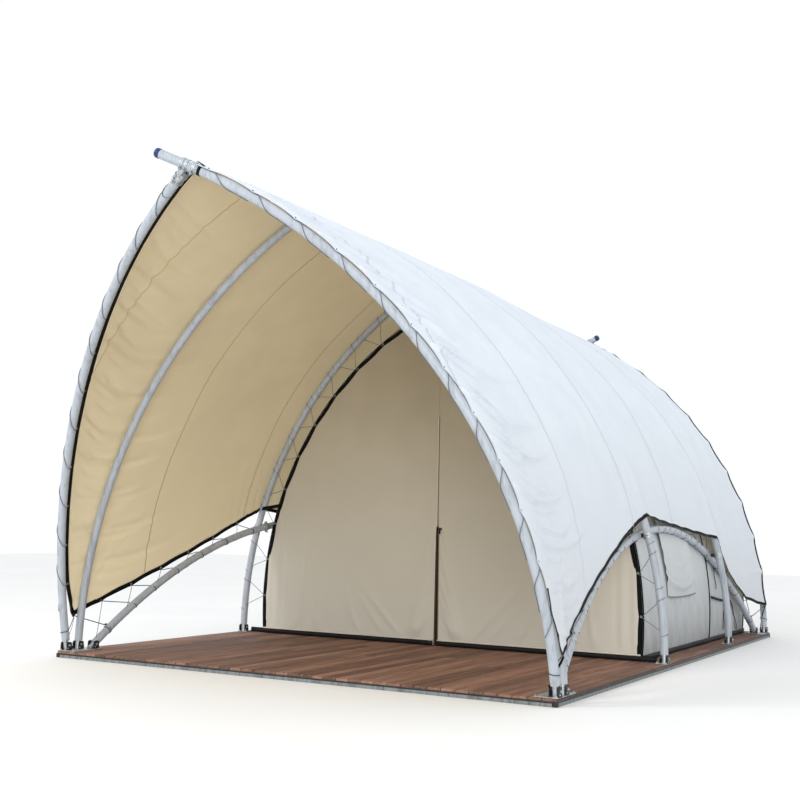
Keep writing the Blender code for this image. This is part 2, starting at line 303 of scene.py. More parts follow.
def curved(controls, steps=8):
    # a smooth line through the control points
    controls = [Vector(spot) for spot in controls]
    ends = [controls[0] * 2 - controls[1]] + controls + [controls[-1] * 2 - controls[-2]]
    result = []
    for first, second, third, fourth in zip(ends, ends[1:], ends[2:], ends[3:]):
        for step in range(steps):
            share = step / steps
            result.append(0.5 * (2 * second + (third - first) * share
                                 + (2 * first - 5 * second + 4 * third - fourth) * share ** 2
                                 + (3 * second - first - 3 * third + fourth) * share ** 3))
    result.append(controls[-1])
    return result


# the arches' lines, the same as in the part's source

deckTop = 0.07
clearance = 0.0003
tubeRadius = 0.045
collarRadius = 0.053
tubeFoot = deckTop + clearance + 0.008 + 0.09 + 0.003


def makeArc(footX, footZ, apexZ, centreZ, footY=0.0, apexY=0.0, yaw=0.0):
    rise = apexZ - centreZ
    drop = footZ - centreZ
    centreX = (rise ** 2 - drop ** 2 - footX ** 2) / (2 * footX)
    return {"footX": footX, "footY": footY, "footZ": footZ, "centreX": centreX, "centreZ": centreZ,
            "radius": math.hypot(centreX, rise), "apex": math.atan2(rise, centreX), "yaw": yaw,
            "lean": (apexY - footY + yaw * footX) / (apexZ - footZ)}


arcs = {
    "front": makeArc(2.95, deckTop, 4.80, 0.20, -4.30, -6.04, 0.25),
    "second": makeArc(2.95, deckTop, 4.82, 0.0, -4.13, -4.13),
    "middle": makeArc(2.95, deckTop, 4.82, 0.13, -1.00, -1.00),
    "rearPost": makeArc(2.95, deckTop, 4.74, 0.13, 2.00, 2.00),
    "rear": makeArc(2.95, deckTop, 4.73, 0.0, 4.22, 4.47, 0.15),
}
nodeOf = {"front": "front_arch", "second": "second_rib", "middle": "middle_arch",
          "rearPost": "rear_post_arch", "rear": "rear_arch"}
longTube = {"front": "right", "rear": "left"}
tails = {"front": 0.34, "rear": 0.22}


def arcPoint(arc, angle, offset=0.0):
    reach = arc["radius"] + offset
    x = reach * math.cos(angle) - arc["centreX"]
    z = reach * math.sin(angle) + arc["centreZ"]
    y = arc["footY"] + arc["yaw"] * (x - arc["footX"]) + arc["lean"] * (z - arc["footZ"])
    return Vector((x, y, z))


def arcAngle(arc, height, offset=0.0):
    return math.asin((height - arc["centreZ"]) / (arc["radius"] + offset))


def arcRun(arc, angle):
    return (arcPoint(arc, angle + 1e-4) - arcPoint(arc, angle - 1e-4)).normalized()


def archLine(arc, low, high, pitch=0.06):
    # spots along an arch tube's centre line between two angles, for the +X side
    count = max(2, int(arc["radius"] * (high - low) / pitch))
    return [arcPoint(arc, low + (high - low) * step / count) for step in range(count + 1)]


lowArch = {"halfSpan": 4.05, "crest": 1.59, "footX": 2.86, "lean": 0.155}


def lowArchPoint(y):
    half = lowArch["halfSpan"]
    rise = lowArch["crest"] - deckTop
    radius = (half ** 2 + rise ** 2) / (2 * rise)
    z = lowArch["crest"] - radius + math.sqrt(radius ** 2 - y ** 2)
    return Vector((lowArch["footX"] - lowArch["lean"] * (z - deckTop), y, z))


def lowArchLine(start, end, pitch=0.06):
    count = max(2, int(abs(end - start) / pitch))
    return [lowArchPoint(start + (end - start) * step / count) for step in range(count + 1)]


# materials

def clothMaterial(title, colour, darker, thread, roughness, softness, dirt, warm, lower=None,
                  paintedGlow=0.0, creased=0.0):
    # plain weave: two wave patterns crossed on the sheet's own UV, which is in metres
    material, tree, shader = startMaterial(title, Roughness=roughness, Sheen_Weight=softness)
    shader.inputs["Sheen Roughness"].default_value = 0.6
    shader.inputs["Specular IOR Level"].default_value = 0.28
    place = addNode(tree, "TexCoord")
    warp = addNode(tree, "TexWave", {"Scale": 0.5 / thread, "Distortion": 0.0}, {"Vector": place.outputs["UV"]},
                   bands_direction="X", wave_profile="SIN")
    weft = addNode(tree, "TexWave", {"Scale": 0.5 / thread, "Distortion": 0.0}, {"Vector": place.outputs["UV"]},
                   bands_direction="Y", wave_profile="SIN")
    weave = addNode(tree, "Math", links={0: warp.outputs["Fac"], 1: weft.outputs["Fac"]}, operation="MULTIPLY")
    crumple = addNode(tree, "TexNoise", {"Scale": 2.6, "Detail": 5.0, "Roughness": 0.58},
                      {"Vector": place.outputs["Object"]})
    # faint cloudiness of a coating that has weathered, in patches of about 0.4 m
    cloud = addNode(tree, "TexNoise", {"Scale": 2.2, "Detail": 3.0, "Roughness": 0.5},
                    {"Vector": place.outputs["Object"]})
    base = ramp(tree, cloud.outputs["Fac"], [(0.32, linear(darker)), (0.62, linear(colour))])
    height = addNode(tree, "SeparateXYZ", links={"Vector": place.outputs["Object"]})
    if lower:
        # painted light: the cloth's colour shifts to another tone towards the deck, for how the daylight falls on its
        # lower part
        lightByHeight = addNode(tree, "MapRange", {"From Min": 3.4, "From Max": 0.2}, {"Value": height.outputs["Z"]})
        paintedLight = addNode(tree, "Mix", links={"Factor": lightByHeight.outputs["Result"]}, data_type="RGBA")
        tree.links.new(base, paintedLight.inputs[6])
        paintedLight.inputs[7].default_value = linear(lower)
        base = paintedLight.outputs[2]
    # painted glow: an emission in the cloth's own colour stands in for the daylight that comes through the cloth
    shader.inputs["Emission Color"].default_value = linear(colour)
    shader.inputs["Emission Strength"].default_value = paintedGlow
    # grime gathers towards the deck
    low = addNode(tree, "MapRange", {"From Min": 0.08, "From Max": 1.0, "To Min": dirt, "To Max": 0.0},
                  {"Value": height.outputs["Z"]})
    patch = addNode(tree, "Math", links={0: low.outputs["Result"], 1: crumple.outputs["Fac"]},
                    operation="MULTIPLY")
    grimy = addNode(tree, "Mix", links={"Factor": patch.outputs["Value"]}, data_type="RGBA",
                    blend_type="MULTIPLY")
    tree.links.new(base, grimy.inputs[6])
    grimy.inputs[7].default_value = linear(warm)
    tree.links.new(grimy.outputs[2], shader.inputs["Base Color"])
    soft = addNode(tree, "Bump", {"Strength": 0.35, "Distance": 0.012}, {"Height": crumple.outputs["Fac"]})
    if creased:
        # fine tension creases run back and down from the laced front edge, over about a metre and a half
        slant = addNode(tree, "Mapping", {"Rotation": (0, 0, -0.42), "Scale": (0.55, 0.085, 1)},
                        {"Vector": place.outputs["UV"]}, vector_type="TEXTURE")
        lines = addNode(tree, "TexNoise", {"Scale": 1.0, "Detail": 2.5, "Roughness": 0.5, "Distortion": 0.5},
                        {"Vector": slant.outputs["Vector"]})
        sharp = ramp(tree, lines.outputs["Fac"], [(0.46, (0, 0, 0, 1)), (0.55, (1, 1, 1, 1)),
                                                  (0.66, (0.2, 0.2, 0.2, 1))])
        across = addNode(tree, "SeparateXYZ", links={"Vector": place.outputs["UV"]})
        near = addNode(tree, "MapRange", {"From Min": 0.3, "From Max": 2.1, "To Min": 1.0, "To Max": 0.0},
                       {"Value": across.outputs["X"]})
        depth = addNode(tree, "Math", links={0: sharp, 1: near.outputs["Result"]}, operation="MULTIPLY")
        soft = addNode(tree, "Bump", {"Strength": creased, "Distance": 0.020},
                       {"Height": depth.outputs["Value"], "Normal": soft.outputs["Normal"]})
    fine = addNode(tree, "Bump", {"Strength": 0.25, "Distance": 0.0012},
                   {"Height": weave.outputs["Value"], "Normal": soft.outputs["Normal"]})
    tree.links.new(fine.outputs["Normal"], shader.inputs["Normal"])
    return material


# acrylic-coated polyester canvas, white side out: matt, with a cold white that a bright sky gives it; its greyer tone
# lower down is painted light
canopyOutside = clothMaterial("coated_canvas_white_side", "#DCE4ED", "#D6DEE8", 0.004, 0.62, 0.12, 0.10,
                              "#D8D2C4", lower="#C4C8CD", creased=0.22)
# the cream side of the same canvas, seen from the porch; its glow and its lighter tone lower down are painted light
canopyInside = clothMaterial("coated_canvas_cream_side", "#BAAC8D", "#B4A686", 0.004, 0.70, 0.10, 0.06,
                             "#C8B890", lower="#DCCFAF", paintedGlow=0.35)
# polyester and cotton canvas of the room: matt and a little hairy, grey-beige; lighter towards the deck as painted
# light, where more daylight reaches the wall's foot
roomCanvas = clothMaterial("polycotton_canvas_grey_beige", "#AEA48F", "#A89E88", 0.003, 0.85, 0.25, 0.10,
                           "#B0A288", lower="#CDCABF")
# the same canvas on the room's sides in a lighter grey, partly bleached by the weather and partly painted sky light on
# these outward faces; darker towards the deck as painted shade
sideCanvas = clothMaterial("polycotton_canvas_bleached_and_skylit_grey", "#DCE1E4", "#D2D8DC", 0.003, 0.85, 0.22, 0.30,
                           "#A9A394", lower="#A6AAAC")
# PVC-coated cloth of the skirts and the groundsheet: black, with a low sheen
blackSheet = clothMaterial("pvc_coated_cloth_black", "#151517", "#0F0F11", 0.004, 0.6, 0.0, 0.2, "#8A8478")


def stripMaterial(title, colour, darker, ribPitch, roughness):
    # woven polypropylene webbing: ribs across its width catch the light as fine bars
    material, tree, shader = startMaterial(title, Roughness=roughness)
    shader.inputs["Specular IOR Level"].default_value = 0.12
    place = addNode(tree, "TexCoord")
    ribs = addNode(tree, "TexWave", {"Scale": 0.5 / ribPitch, "Distortion": 0.6, "Detail Scale": 3.0},
                   {"Vector": place.outputs["UV"]}, bands_direction="X")
    lanes = addNode(tree, "TexWave", {"Scale": 0.25 / ribPitch, "Distortion": 0.0},
                    {"Vector": place.outputs["UV"]}, bands_direction="Y")
    weave = addNode(tree, "Math", links={0: ribs.outputs["Fac"], 1: lanes.outputs["Fac"]}, operation="MULTIPLY")
    tint = ramp(tree, weave.outputs["Value"], [(0.1, linear(darker)), (0.8, linear(colour))])
    tree.links.new(tint, shader.inputs["Base Color"])
    bump = addNode(tree, "Bump", {"Strength": 0.6, "Distance": 0.0015}, {"Height": weave.outputs["Value"]})
    tree.links.new(bump.outputs["Normal"], shader.inputs["Normal"])
    return material


# 50 mm webbing, its ribs 2 mm apart; drawn at 6 mm so that they show
blackWebbing = stripMaterial("polypropylene_webbing_black", "#121214", "#060607", 0.006, 0.6)
# polyester seam tape, white like the canopy
seamTape = stripMaterial("polyester_seam_tape_white", "#D3D8DE", "#C8CDD4", 0.006, 0.7)
seamTapeCream = stripMaterial("polyester_seam_tape_tan", "#C4B68E", "#B5A67E", 0.006, 0.75)
hemTapeCream = stripMaterial("polyester_hem_tape_cream", "#EFE6CC", "#E4D9BB", 0.006, 0.75)


def ropeMaterial(title, colour, darker, strand):
    # braided polyester rope: strands cross on a slant, so the rope looks like a chain of small diamonds
    material, tree, shader = startMaterial(title, Roughness=0.6)
    place = addNode(tree, "TexCoord")
    left = addNode(tree, "Mapping", {"Rotation": (0, 0, 0.7)}, {"Vector": place.outputs["UV"]})
    right = addNode(tree, "Mapping", {"Rotation": (0, 0, -0.7)}, {"Vector": place.outputs["UV"]})
    first = addNode(tree, "TexWave", {"Scale": 0.5 / strand}, {"Vector": left.outputs["Vector"]})
    second = addNode(tree, "TexWave", {"Scale": 0.5 / strand}, {"Vector": right.outputs["Vector"]})
    braid = addNode(tree, "Math", links={0: first.outputs["Fac"], 1: second.outputs["Fac"]}, operation="MAXIMUM")
    tint = ramp(tree, braid.outputs["Value"], [(0.2, linear(darker)), (0.9, linear(colour))])
    tree.links.new(tint, shader.inputs["Base Color"])
    bump = addNode(tree, "Bump", {"Strength": 0.7, "Distance": 0.0012}, {"Height": braid.outputs["Value"]})
    tree.links.new(bump.outputs["Normal"], shader.inputs["Normal"])
    return material


greyRope = ropeMaterial("braided_polyester_rope_grey", "#7C8088", "#3E4148", 0.004)
darkRope = ropeMaterial("braided_polyester_rope_dark_grey", "#4A4D52", "#1C1D20", 0.004)


def paintMaterial(title, colour, darker, roughness, grime):
    # powder coat: a faint orange peel about 2 mm across, and a little rain streaking along the metal
    material, tree, shader = startMaterial(title, Roughness=roughness)
    place = addNode(tree, "TexCoord")
    peel = addNode(tree, "TexNoise", {"Scale": 220.0, "Detail": 2.0}, {"Vector": place.outputs["Object"]})
    stretch = addNode(tree, "Mapping", {"Scale": (7.0, 7.0, 1.2)}, {"Vector": place.outputs["Object"]})
    streak = addNode(tree, "TexNoise", {"Scale": 3.0, "Detail": 6.0, "Roughness": 0.65},
                     {"Vector": stretch.outputs["Vector"]})
    tint = ramp(tree, streak.outputs["Fac"], [(grime, linear(darker)), (grime + 0.22, linear(colour))])
    tree.links.new(tint, shader.inputs["Base Color"])
    rough = addNode(tree, "MapRange", {"To Min": roughness + 0.18, "To Max": roughness - 0.04},
                    {"Value": streak.outputs["Fac"]})
    tree.links.new(rough.outputs["Result"], shader.inputs["Roughness"])
    bump = addNode(tree, "Bump", {"Strength": 0.12, "Distance": 0.0006}, {"Height": peel.outputs["Fac"]})
    tree.links.new(bump.outputs["Normal"], shader.inputs["Normal"])
    return material


# steel tube with a white powder coat, satin and slightly blue from the sky
whitePaint = paintMaterial("powder_coated_steel_white", "#AAB1BA", "#90979E", 0.34, 0.30)
# the deck frame's grey powder coat, dusty
greyPaint = paintMaterial("powder_coated_steel_grey", "#7F8486", "#5C5F5E", 0.45, 0.36)


def galvanisedMaterial(title, colour, darker, roughness):
    # hot-dip zinc: crystals of about 12 mm, each turned a little differently to the light
    material, tree, shader = startMaterial(title, Metallic=1.0)
    place = addNode(tree, "TexCoord")
    spangle = addNode(tree, "TexVoronoi", {"Scale": 85.0}, {"Vector": place.outputs["Object"]})
    soot = addNode(tree, "TexNoise", {"Scale": 14.0, "Detail": 6.0}, {"Vector": place.outputs["Object"]})
    mixed = addNode(tree, "Mix", {"Factor": 0.45}, data_type="FLOAT")
    tree.links.new(spangle.outputs["Color"], mixed.inputs[2])
    tree.links.new(soot.outputs["Fac"], mixed.inputs[3])
    tint = ramp(tree, mixed.outputs[0], [(0.25, linear(darker)), (0.75, linear(colour))])
    tree.links.new(tint, shader.inputs["Base Color"])
    rough = addNode(tree, "MapRange", {"To Min": roughness - 0.12, "To Max": roughness + 0.16},
                    {"Value": mixed.outputs[0]})
    tree.links.new(rough.outputs["Result"], shader.inputs["Roughness"])
    bump = addNode(tree, "Bump", {"Strength": 0.15, "Distance": 0.0008}, {"Height": soot.outputs["Fac"]})
    tree.links.new(bump.outputs["Normal"], shader.inputs["Normal"])
    return material


galvanised = galvanisedMaterial("galvanised_steel_dull", "#D0D5D8", "#A0A6A9", 0.48)
darkSteel = galvanisedMaterial("weathered_steel_bracket", "#5A5E60", "#303335", 0.55)
# bolts, nuts and washers: bright zinc plate
zincPlate = galvanisedMaterial("zinc_plated_bolts", "#C6C9CC", "#9A9EA2", 0.32)


def boardMaterial(title):
    # thermally treated hardwood boards, oiled red-brown; the grain is a few millimetres wide and runs along Y
    material, tree, shader = startMaterial(title)
    shader.inputs["Specular IOR Level"].default_value = 0.3
    place = addNode(tree, "TexCoord")
    own = addNode(tree, "Attribute", attribute_name="boardTone")
    shift = addNode(tree, "VectorMath", links={0: place.outputs["Object"], 1: own.outputs["Color"]},
                    operation="ADD")
    stretch = addNode(tree, "Mapping", {"Scale": (42.0, 1.6, 20.0)}, {"Vector": shift.outputs["Vector"]})
    grain = addNode(tree, "TexNoise", {"Scale": 2.4, "Detail": 8.0, "Roughness": 0.62, "Distortion": 0.35},
                    {"Vector": stretch.outputs["Vector"]})
    wideStretch = addNode(tree, "Mapping", {"Scale": (9.0, 0.7, 9.0)}, {"Vector": shift.outputs["Vector"]})
    broad = addNode(tree, "TexNoise", {"Scale": 1.6, "Detail": 4.0}, {"Vector": wideStretch.outputs["Vector"]})
    fine = ramp(tree, grain.outputs["Fac"], [(0.30, linear("#3E261E")), (0.52, linear("#7A5646")),
                                            (0.72, linear("#9A7966"))])
    patches = ramp(tree, broad.outputs["Fac"], [(0.30, linear("#6A4234")), (0.70, linear("#A58674"))])
    tone = addNode(tree, "SeparateColor", links={"Color": own.outputs["Color"]})
    blend = addNode(tree, "Mix", {"Factor": 0.42}, data_type="RGBA")
    tree.links.new(fine, blend.inputs[6])
    tree.links.new(patches, blend.inputs[7])
    lighter = addNode(tree, "MapRange", {"To Min": 0.62, "To Max": 1.34}, {"Value": tone.outputs["Red"]})
    shade = addNode(tree, "VectorMath", links={0: blend.outputs[2]}, operation="SCALE")
    tree.links.new(lighter.outputs["Result"], shade.inputs["Scale"])
    tree.links.new(shade.outputs["Vector"], shader.inputs["Base Color"])
    rough = addNode(tree, "MapRange", {"To Min": 0.52, "To Max": 0.82}, {"Value": grain.outputs["Fac"]})
    tree.links.new(rough.outputs["Result"], shader.inputs["Roughness"])
    bump = addNode(tree, "Bump", {"Strength": 0.45, "Distance": 0.002}, {"Height": grain.outputs["Fac"]})
    tree.links.new(bump.outputs["Normal"], shader.inputs["Normal"])
    return material


deckWood = boardMaterial("heat_treated_hardwood_oiled")


def plasticMaterial(title, colour, darker, roughness, grain):
    # injection-moulded plastic: a fine spark-eroded grain and soft scuffs
    material, tree, shader = startMaterial(title, Roughness=roughness)
    place = addNode(tree, "TexCoord")
    pits = addNode(tree, "TexNoise", {"Scale": 1.0 / grain, "Detail": 2.0}, {"Vector": place.outputs["Object"]})
    scuffs = addNode(tree, "TexNoise", {"Scale": 30.0, "Detail": 5.0}, {"Vector": place.outputs["Object"]})
    tint = ramp(tree, scuffs.outputs["Fac"], [(0.35, linear(darker)), (0.65, linear(colour))])
    tree.links.new(tint, shader.inputs["Base Color"])
    bump = addNode(tree, "Bump", {"Strength": 0.2, "Distance": 0.0005}, {"Height": pits.outputs["Fac"]})
    tree.links.new(bump.outputs["Normal"], shader.inputs["Normal"])
    return material


bluePlastic = plasticMaterial("polyethylene_cap_dark_blue", "#1A3268", "#122650", 0.38, 0.002)
paleBluePlastic = plasticMaterial("polyethylene_cap_pale_mark", "#8FA3C4", "#7489AE", 0.42, 0.002)
blackPlastic = plasticMaterial("moulded_polyamide_black", "#17181A", "#0E0F10", 0.5, 0.002)
print("materials made")


# stage and light

stageSet = {"size": 70.0, "floor": "#F4F4F3", "sky": 1.03}


def buildStage():
    bpy.ops.mesh.primitive_plane_add(size=stageSet["size"], location=(0, 0, -0.002))
    floor = bpy.context.object
    material, tree, shader = startMaterial("matt_studio_floor", Roughness=0.9)
    place = addNode(tree, "TexCoord")
    mottle = addNode(tree, "TexNoise", {"Scale": 0.4, "Detail": 2.0}, {"Vector": place.outputs["Object"]})
    tint = ramp(tree, mottle.outputs["Fac"], [(0.3, linear("#F1F1F0")), (0.7, linear(stageSet["floor"]))])
    tree.links.new(tint, shader.inputs["Base Color"])
    settle(floor, "studioFloor", material)
    world = bpy.data.worlds.new("studioSky")
    bpy.context.scene.world = world
    world.use_nodes = True
    sky = world.node_tree.nodes["Background"]
    sky.inputs["Color"].default_value = (0.97, 0.985, 1.0, 1.0)
    sky.inputs["Strength"].default_value = stageSet["sky"]
    bpy.context.scene.view_settings.view_transform = "Standard"


lightSet = [
    # name, place, aimed at, width, power, colour
    ("highSoftbox", (-6.0, -13.0, 10.0), (0.0, -1.5, 2.5), 3.5, 580.0, (1.0, 0.99, 0.97)),
    ("lowFrontSoftbox", (11.5, -23.0, 2.6), (-1.8, -2.0, 3.0), 9.0, 1980.0, (1.0, 0.985, 0.96)),
]


def buildLights():
    for title, place, aim, width, power, colour in lightSet:
        bpy.ops.object.light_add(type="AREA", location=place)
        lamp = bpy.context.object
        lamp.name = title
        lamp.data.shape = "DISK"
        lamp.data.size = width
        lamp.data.energy = power
        lamp.data.color = colour
        lamp.rotation_euler = (Vector(aim) - Vector(place)).to_track_quat("-Z", "Y").to_euler()


buildStage()
buildLights()
print("stage and lights ready")


# arch tubes

tubeSet = {"around": 28, "hubReach": 0.03, "crossingReach": 0.115}


def footAngle(arc):
    angle = arcAngle(arc, tubeFoot)
    run = arcRun(arc, angle)
    return arcAngle(arc, tubeFoot + clearance + tubeRadius * math.sqrt(max(0.0, 1 - run.z ** 2)))


def topAngle(title, label):
    arc = arcs[title]
    reach = tubeSet["hubReach"]
    if title in longTube:
        reach = 0.0 if longTube[title] == label else tubeSet["crossingReach"]
    return arc["apex"] - reach / arc["radius"]


def buildTubes():
    for title, arc in arcs.items():
        for label, side in sides.items():
            line = archLine(arc, footAngle(arc), topAngle(title, label))
            if longTube.get(title) == label:
                up = (line[-1] - line[-2]).normalized()
                line += [line[-1] + up * tails[title] * share for share in (0.25, 0.5, 0.75, 1.0)]
            item = sweep(f"{title}Tube_{label}", aside(line, side), circle(tubeRadius, tubeSet["around"]),
                         [whitePaint])
            smooth(item)
            wear(item, "arch_tubes", f"{nodeOf[title]}_{label}")
    for label, side in sides.items():
        item = sweep(f"lowTube_{label}", aside(lowArchLine(-3.98, 3.98), side),
                     circle(tubeRadius, tubeSet["around"]), [whitePaint])
        smooth(item)
        wear(item, "arch_tubes", f"low_arch_{label}")
    print("tubes bent")


buildTubes()


# canopy

canopySet = {
    "offset": collarRadius + 0.0027,   # from the tubes' centre line to the cloth's inner side
    "thickness": 0.003,
    "rows": 178,
    "columns": 262,
    # how far round its end arch's tube the edge sits, at a tie and between two ties, in degrees:
    # 0 is the tube's outer side and 90 is straight behind it
    "wrap": {"left": (84, 90), "right": (-42, 4)},
    "rearWrap": (14, 62),
    "tuckLength": 0.45,                # over this length the laced ends are drawn in
    "frontTie": 0.08,                  # ties along the front edge, as a share of the girth
    "rearTie": 0.10,
    "lowTie": 0.46,
    "lowScallop": 0.012,
    "pull": 0.14,
    "seams": (-5.03, -3.22, -1.42, 0.38, 2.18),
    "girth": 6.05,
    "length": 10.6,
}
lowEdge = [(-4.40, 0.36), (-4.13, 0.48), (-3.35, 0.79), (-2.42, 1.165), (-1.54, 1.525), (-1.00, 1.72),
           (-0.40, 1.68), (0.60, 1.60), (2.00, 1.47), (2.70, 0.95), (3.50, 0.60), (4.30, 0.46)]
lowEdgeY = np.array([spot[0] for spot in lowEdge])
lowEdgeZ = np.array([spot[1] for spot in lowEdge])


def sectionOf(arc, height, share, offset):
    # spots on the canopy over one arch; share goes from 0 at the lower edge to 1 at the ridge
    reach = arc["radius"] + offset
    low = np.arcsin((height - arc["centreZ"]) / reach)
    high = np.arccos(arc["centreX"] / reach)
    angle = low + (high - low) * share
    x = reach * np.cos(angle) - arc["centreX"]
    z = reach * np.sin(angle) + arc["centreZ"]
    y = arc["footY"] + arc["yaw"] * (x - arc["footX"]) + arc["lean"] * (z - arc["footZ"])
    return x, y, z


def gently(ys, values, y):
    # a curve through the arches' spots that doesn't swing past them
    count = len(ys)
    steps = [ys[n + 1] - ys[n] for n in range(count - 1)]
    slopes = [(values[n + 1] - values[n]) / steps[n] for n in range(count - 1)]
    tangents = [slopes[0]]
    for n in range(1, count - 1):
        same = slopes[n - 1] * slopes[n] > 0
        before = 2 * steps[n] + steps[n - 1]
        after = steps[n] + 2 * steps[n - 1]
        mean = (before + after) / (before / np.where(same, slopes[n - 1], 1.0)
                                   + after / np.where(same, slopes[n], 1.0))
        tangents.append(np.where(same, mean, 0.0))
    tangents.append(slopes[-1])
    result = np.array(values[0], dtype=float)
    for n in range(count - 1):
        share = np.clip((y - ys[n]) / steps[n], 0.0, 1.0)
        curve = ((2 * share ** 3 - 3 * share ** 2 + 1) * values[n]
                 + (share ** 3 - 2 * share ** 2 + share) * steps[n] * tangents[n]
                 + (3 * share ** 2 - 2 * share ** 3) * values[n + 1]
                 + (share ** 3 - share ** 2) * steps[n] * tangents[n + 1])
        result = np.where(y >= ys[n], curve, result)
    return result


def skinAt(y, share, offset=None):
    # the plain skin for the +X side, without wrinkles
    height = np.interp(y, lowEdgeY, lowEdgeZ)
    if offset is None:
        offset = canopySet["offset"]
    spots = [sectionOf(arc, height, share, offset) for arc in arcs.values()]
    ys = [spot[1] for spot in spots]
    x = gently(ys, [spot[0] for spot in spots], y)
    z = gently(ys, [spot[2] for spot in spots], y)
    pull = np.zeros_like(x)
    for start, end in ((-1.00, 2.00), (2.00, 4.22), (-4.13, -1.00)):
        along = np.clip((y - start) / (end - start), 0.0, 1.0)
        pull = pull + canopySet["pull"] * np.sin(np.pi * along) ** 0.6
    x = np.maximum(x - pull * (1 - share) ** 4, clearance / 2)
    return x, y, z


def endArch(title, share):
    # y of the end arch at a share of the canopy's girth
    arc = arcs[title]
    y = arc["footY"] * np.ones_like(share)
    for _ in range(6):
        y = sectionOf(arc, np.interp(y, lowEdgeY, lowEdgeZ), share, canopySet["offset"])[1]
    return y


def crest(value, middle, width):
    return np.exp(-((value - middle) / width) ** 2)


def canopyWrinkles(x, y, share, front, rear, side):
    # how far the cloth stands off the plain skin; every fold is on its outer side
    down = (1 - share) * canopySet["girth"]
    distance = y - front
    lift = np.zeros_like(x)
    pitch = canopySet["girth"] * canopySet["frontTie"]
    dice = random.Random(5 + side)
    # on the left the tube holds a wider strip of the edge flat
    begin = 0.0 if side > 0 else 0.10
    for number in range(1, 13):
        start = number * pitch - 0.02
        strength = (0.40 + math.exp(-((start - 3.0) / 2.0) ** 2)) * dice.uniform(0.8, 1.25)
        # short creases fan out from each tie of the front edge
        for bend, length in ((0.10, 0.22), (0.42, 0.34), (0.85, 0.26), (1.5, 0.16)):
            bend = bend * dice.uniform(0.8, 1.2)
            width = 0.014 + 0.055 * distance
            fade = np.clip((distance - begin) / 0.06, 0, 1) * np.exp(-(np.clip(distance, 0, 9) / length) ** 2)
            lift += 0.008 * strength * fade * crest(down, start + bend * distance, width)
        # long folds sag away from the tie and lift a little at their far end; one flank is the steeper
        for later, sag, reach, depth in ((0.00, 0.42, 1.45, 0.032), (0.22, 0.34, 0.95, 0.020),
                                         (0.50, 0.52, 1.20, 0.025), (0.74, 0.30, 0.80, 0.016)):
            sag = sag * dice.uniform(0.8, 1.25)
            reach = reach * dice.uniform(0.8, 1.2)
            course = np.clip(distance / reach, 0, 1.4)
            line = down - start - later * pitch - sag * np.sin(0.62 * np.pi * course)
            width = (0.020 + 0.022 * np.clip(distance, 0, 2)) * np.where(line > 0, 0.7, 1.7)
            fade = np.clip((distance - begin - 0.3 * later) / 0.15, 0, 1) * np.exp(-(course / 0.85) ** 4)
            lift += depth * strength * fade * crest(line, 0.0, width)
    behind = rear - y
    pitch = canopySet["girth"] * canopySet["rearTie"]
    for number in range(1, 10):
        start = number * pitch
        for bend, length, depth in ((0.25, 0.55, 0.018), (-0.5, 0.3, 0.009), (0.9, 0.3, 0.009)):
            width = 0.020 + 0.085 * behind
            fade = np.clip(behind / 0.06, 0, 1) * np.exp(-(np.clip(behind, 0, 9) / length) ** 2)
            fade = fade * np.clip((0.55 - share) * 5, 0.2, 1)
            lift += depth * dice.uniform(0.6, 1.2) * fade * crest(down, start + bend * behind, width)
    # fine upright gathers where the skin is hauled down to the low arch beside the middle post
    near = crest(y, -1.25, 0.55) * np.clip(1 - share / 0.26, 0, 1) * np.clip(share * 30, 0.2, 1)
    lift += 0.014 * near * (1 + np.sin(2 * np.pi * (y + 0.5 * share) / 0.17))
    lift += 0.007 * near * (1 + np.sin(2 * np.pi * (y - 0.2 * share) / 0.105))
    # drag folds from the rear post down to the back corner, and from the front corner upwards
    for tilt, depth in ((0.30, 0.016), (0.55, 0.014), (0.9, 0.012)):
        line = (y - 2.05) - tilt * share * canopySet["girth"]
        lift += depth * crest(line, 0.0, 0.06) * np.clip(1 - share / 0.30, 0, 1) * np.clip(share * 25, 0, 1)
    for tilt, depth in ((0.34, 0.014), (0.62, 0.012), (1.0, 0.010)):
        line = (y + 4.30) - tilt * share * canopySet["girth"]
        reach = share * canopySet["girth"]
        lift += depth * crest(line, 0.0, 0.02 + 0.05 * reach) * np.exp(-reach / 0.9) * np.clip(reach / 0.15, 0, 1)
    # slack waves of about a metre, and each panel slightly full between its seams
    inside = np.clip(distance / 0.5, 0, 1) * np.clip(behind / 0.5, 0, 1)
    lift += 0.009 * (1 + np.sin(2.3 * y + 1.7 * down + side)) * np.sin(np.pi * share) * inside
    lift += 0.004 * (1 + np.sin(5.9 * y - 3.7 * down)) * np.sin(np.pi * share) * inside
    places = (-6.3,) + canopySet["seams"] + (4.6,)
    for first, second in zip(places, places[1:]):
        middle = np.clip((y - first) / (second - first), 0, 1)
        lift += 0.010 * np.sin(np.pi * middle) ** 0.6 * np.clip(share * 6, 0, 1) * np.clip(behind / 1.2, 0, 1)
    # puckers beside the seams
    for place in canopySet["seams"]:
        lift += 0.0022 * crest(y, place, 0.06) * (1 + np.sin(2 * np.pi * down / 0.13 + 3 * place))
    return lift * np.clip((1 - share) * 20, 0, 1)


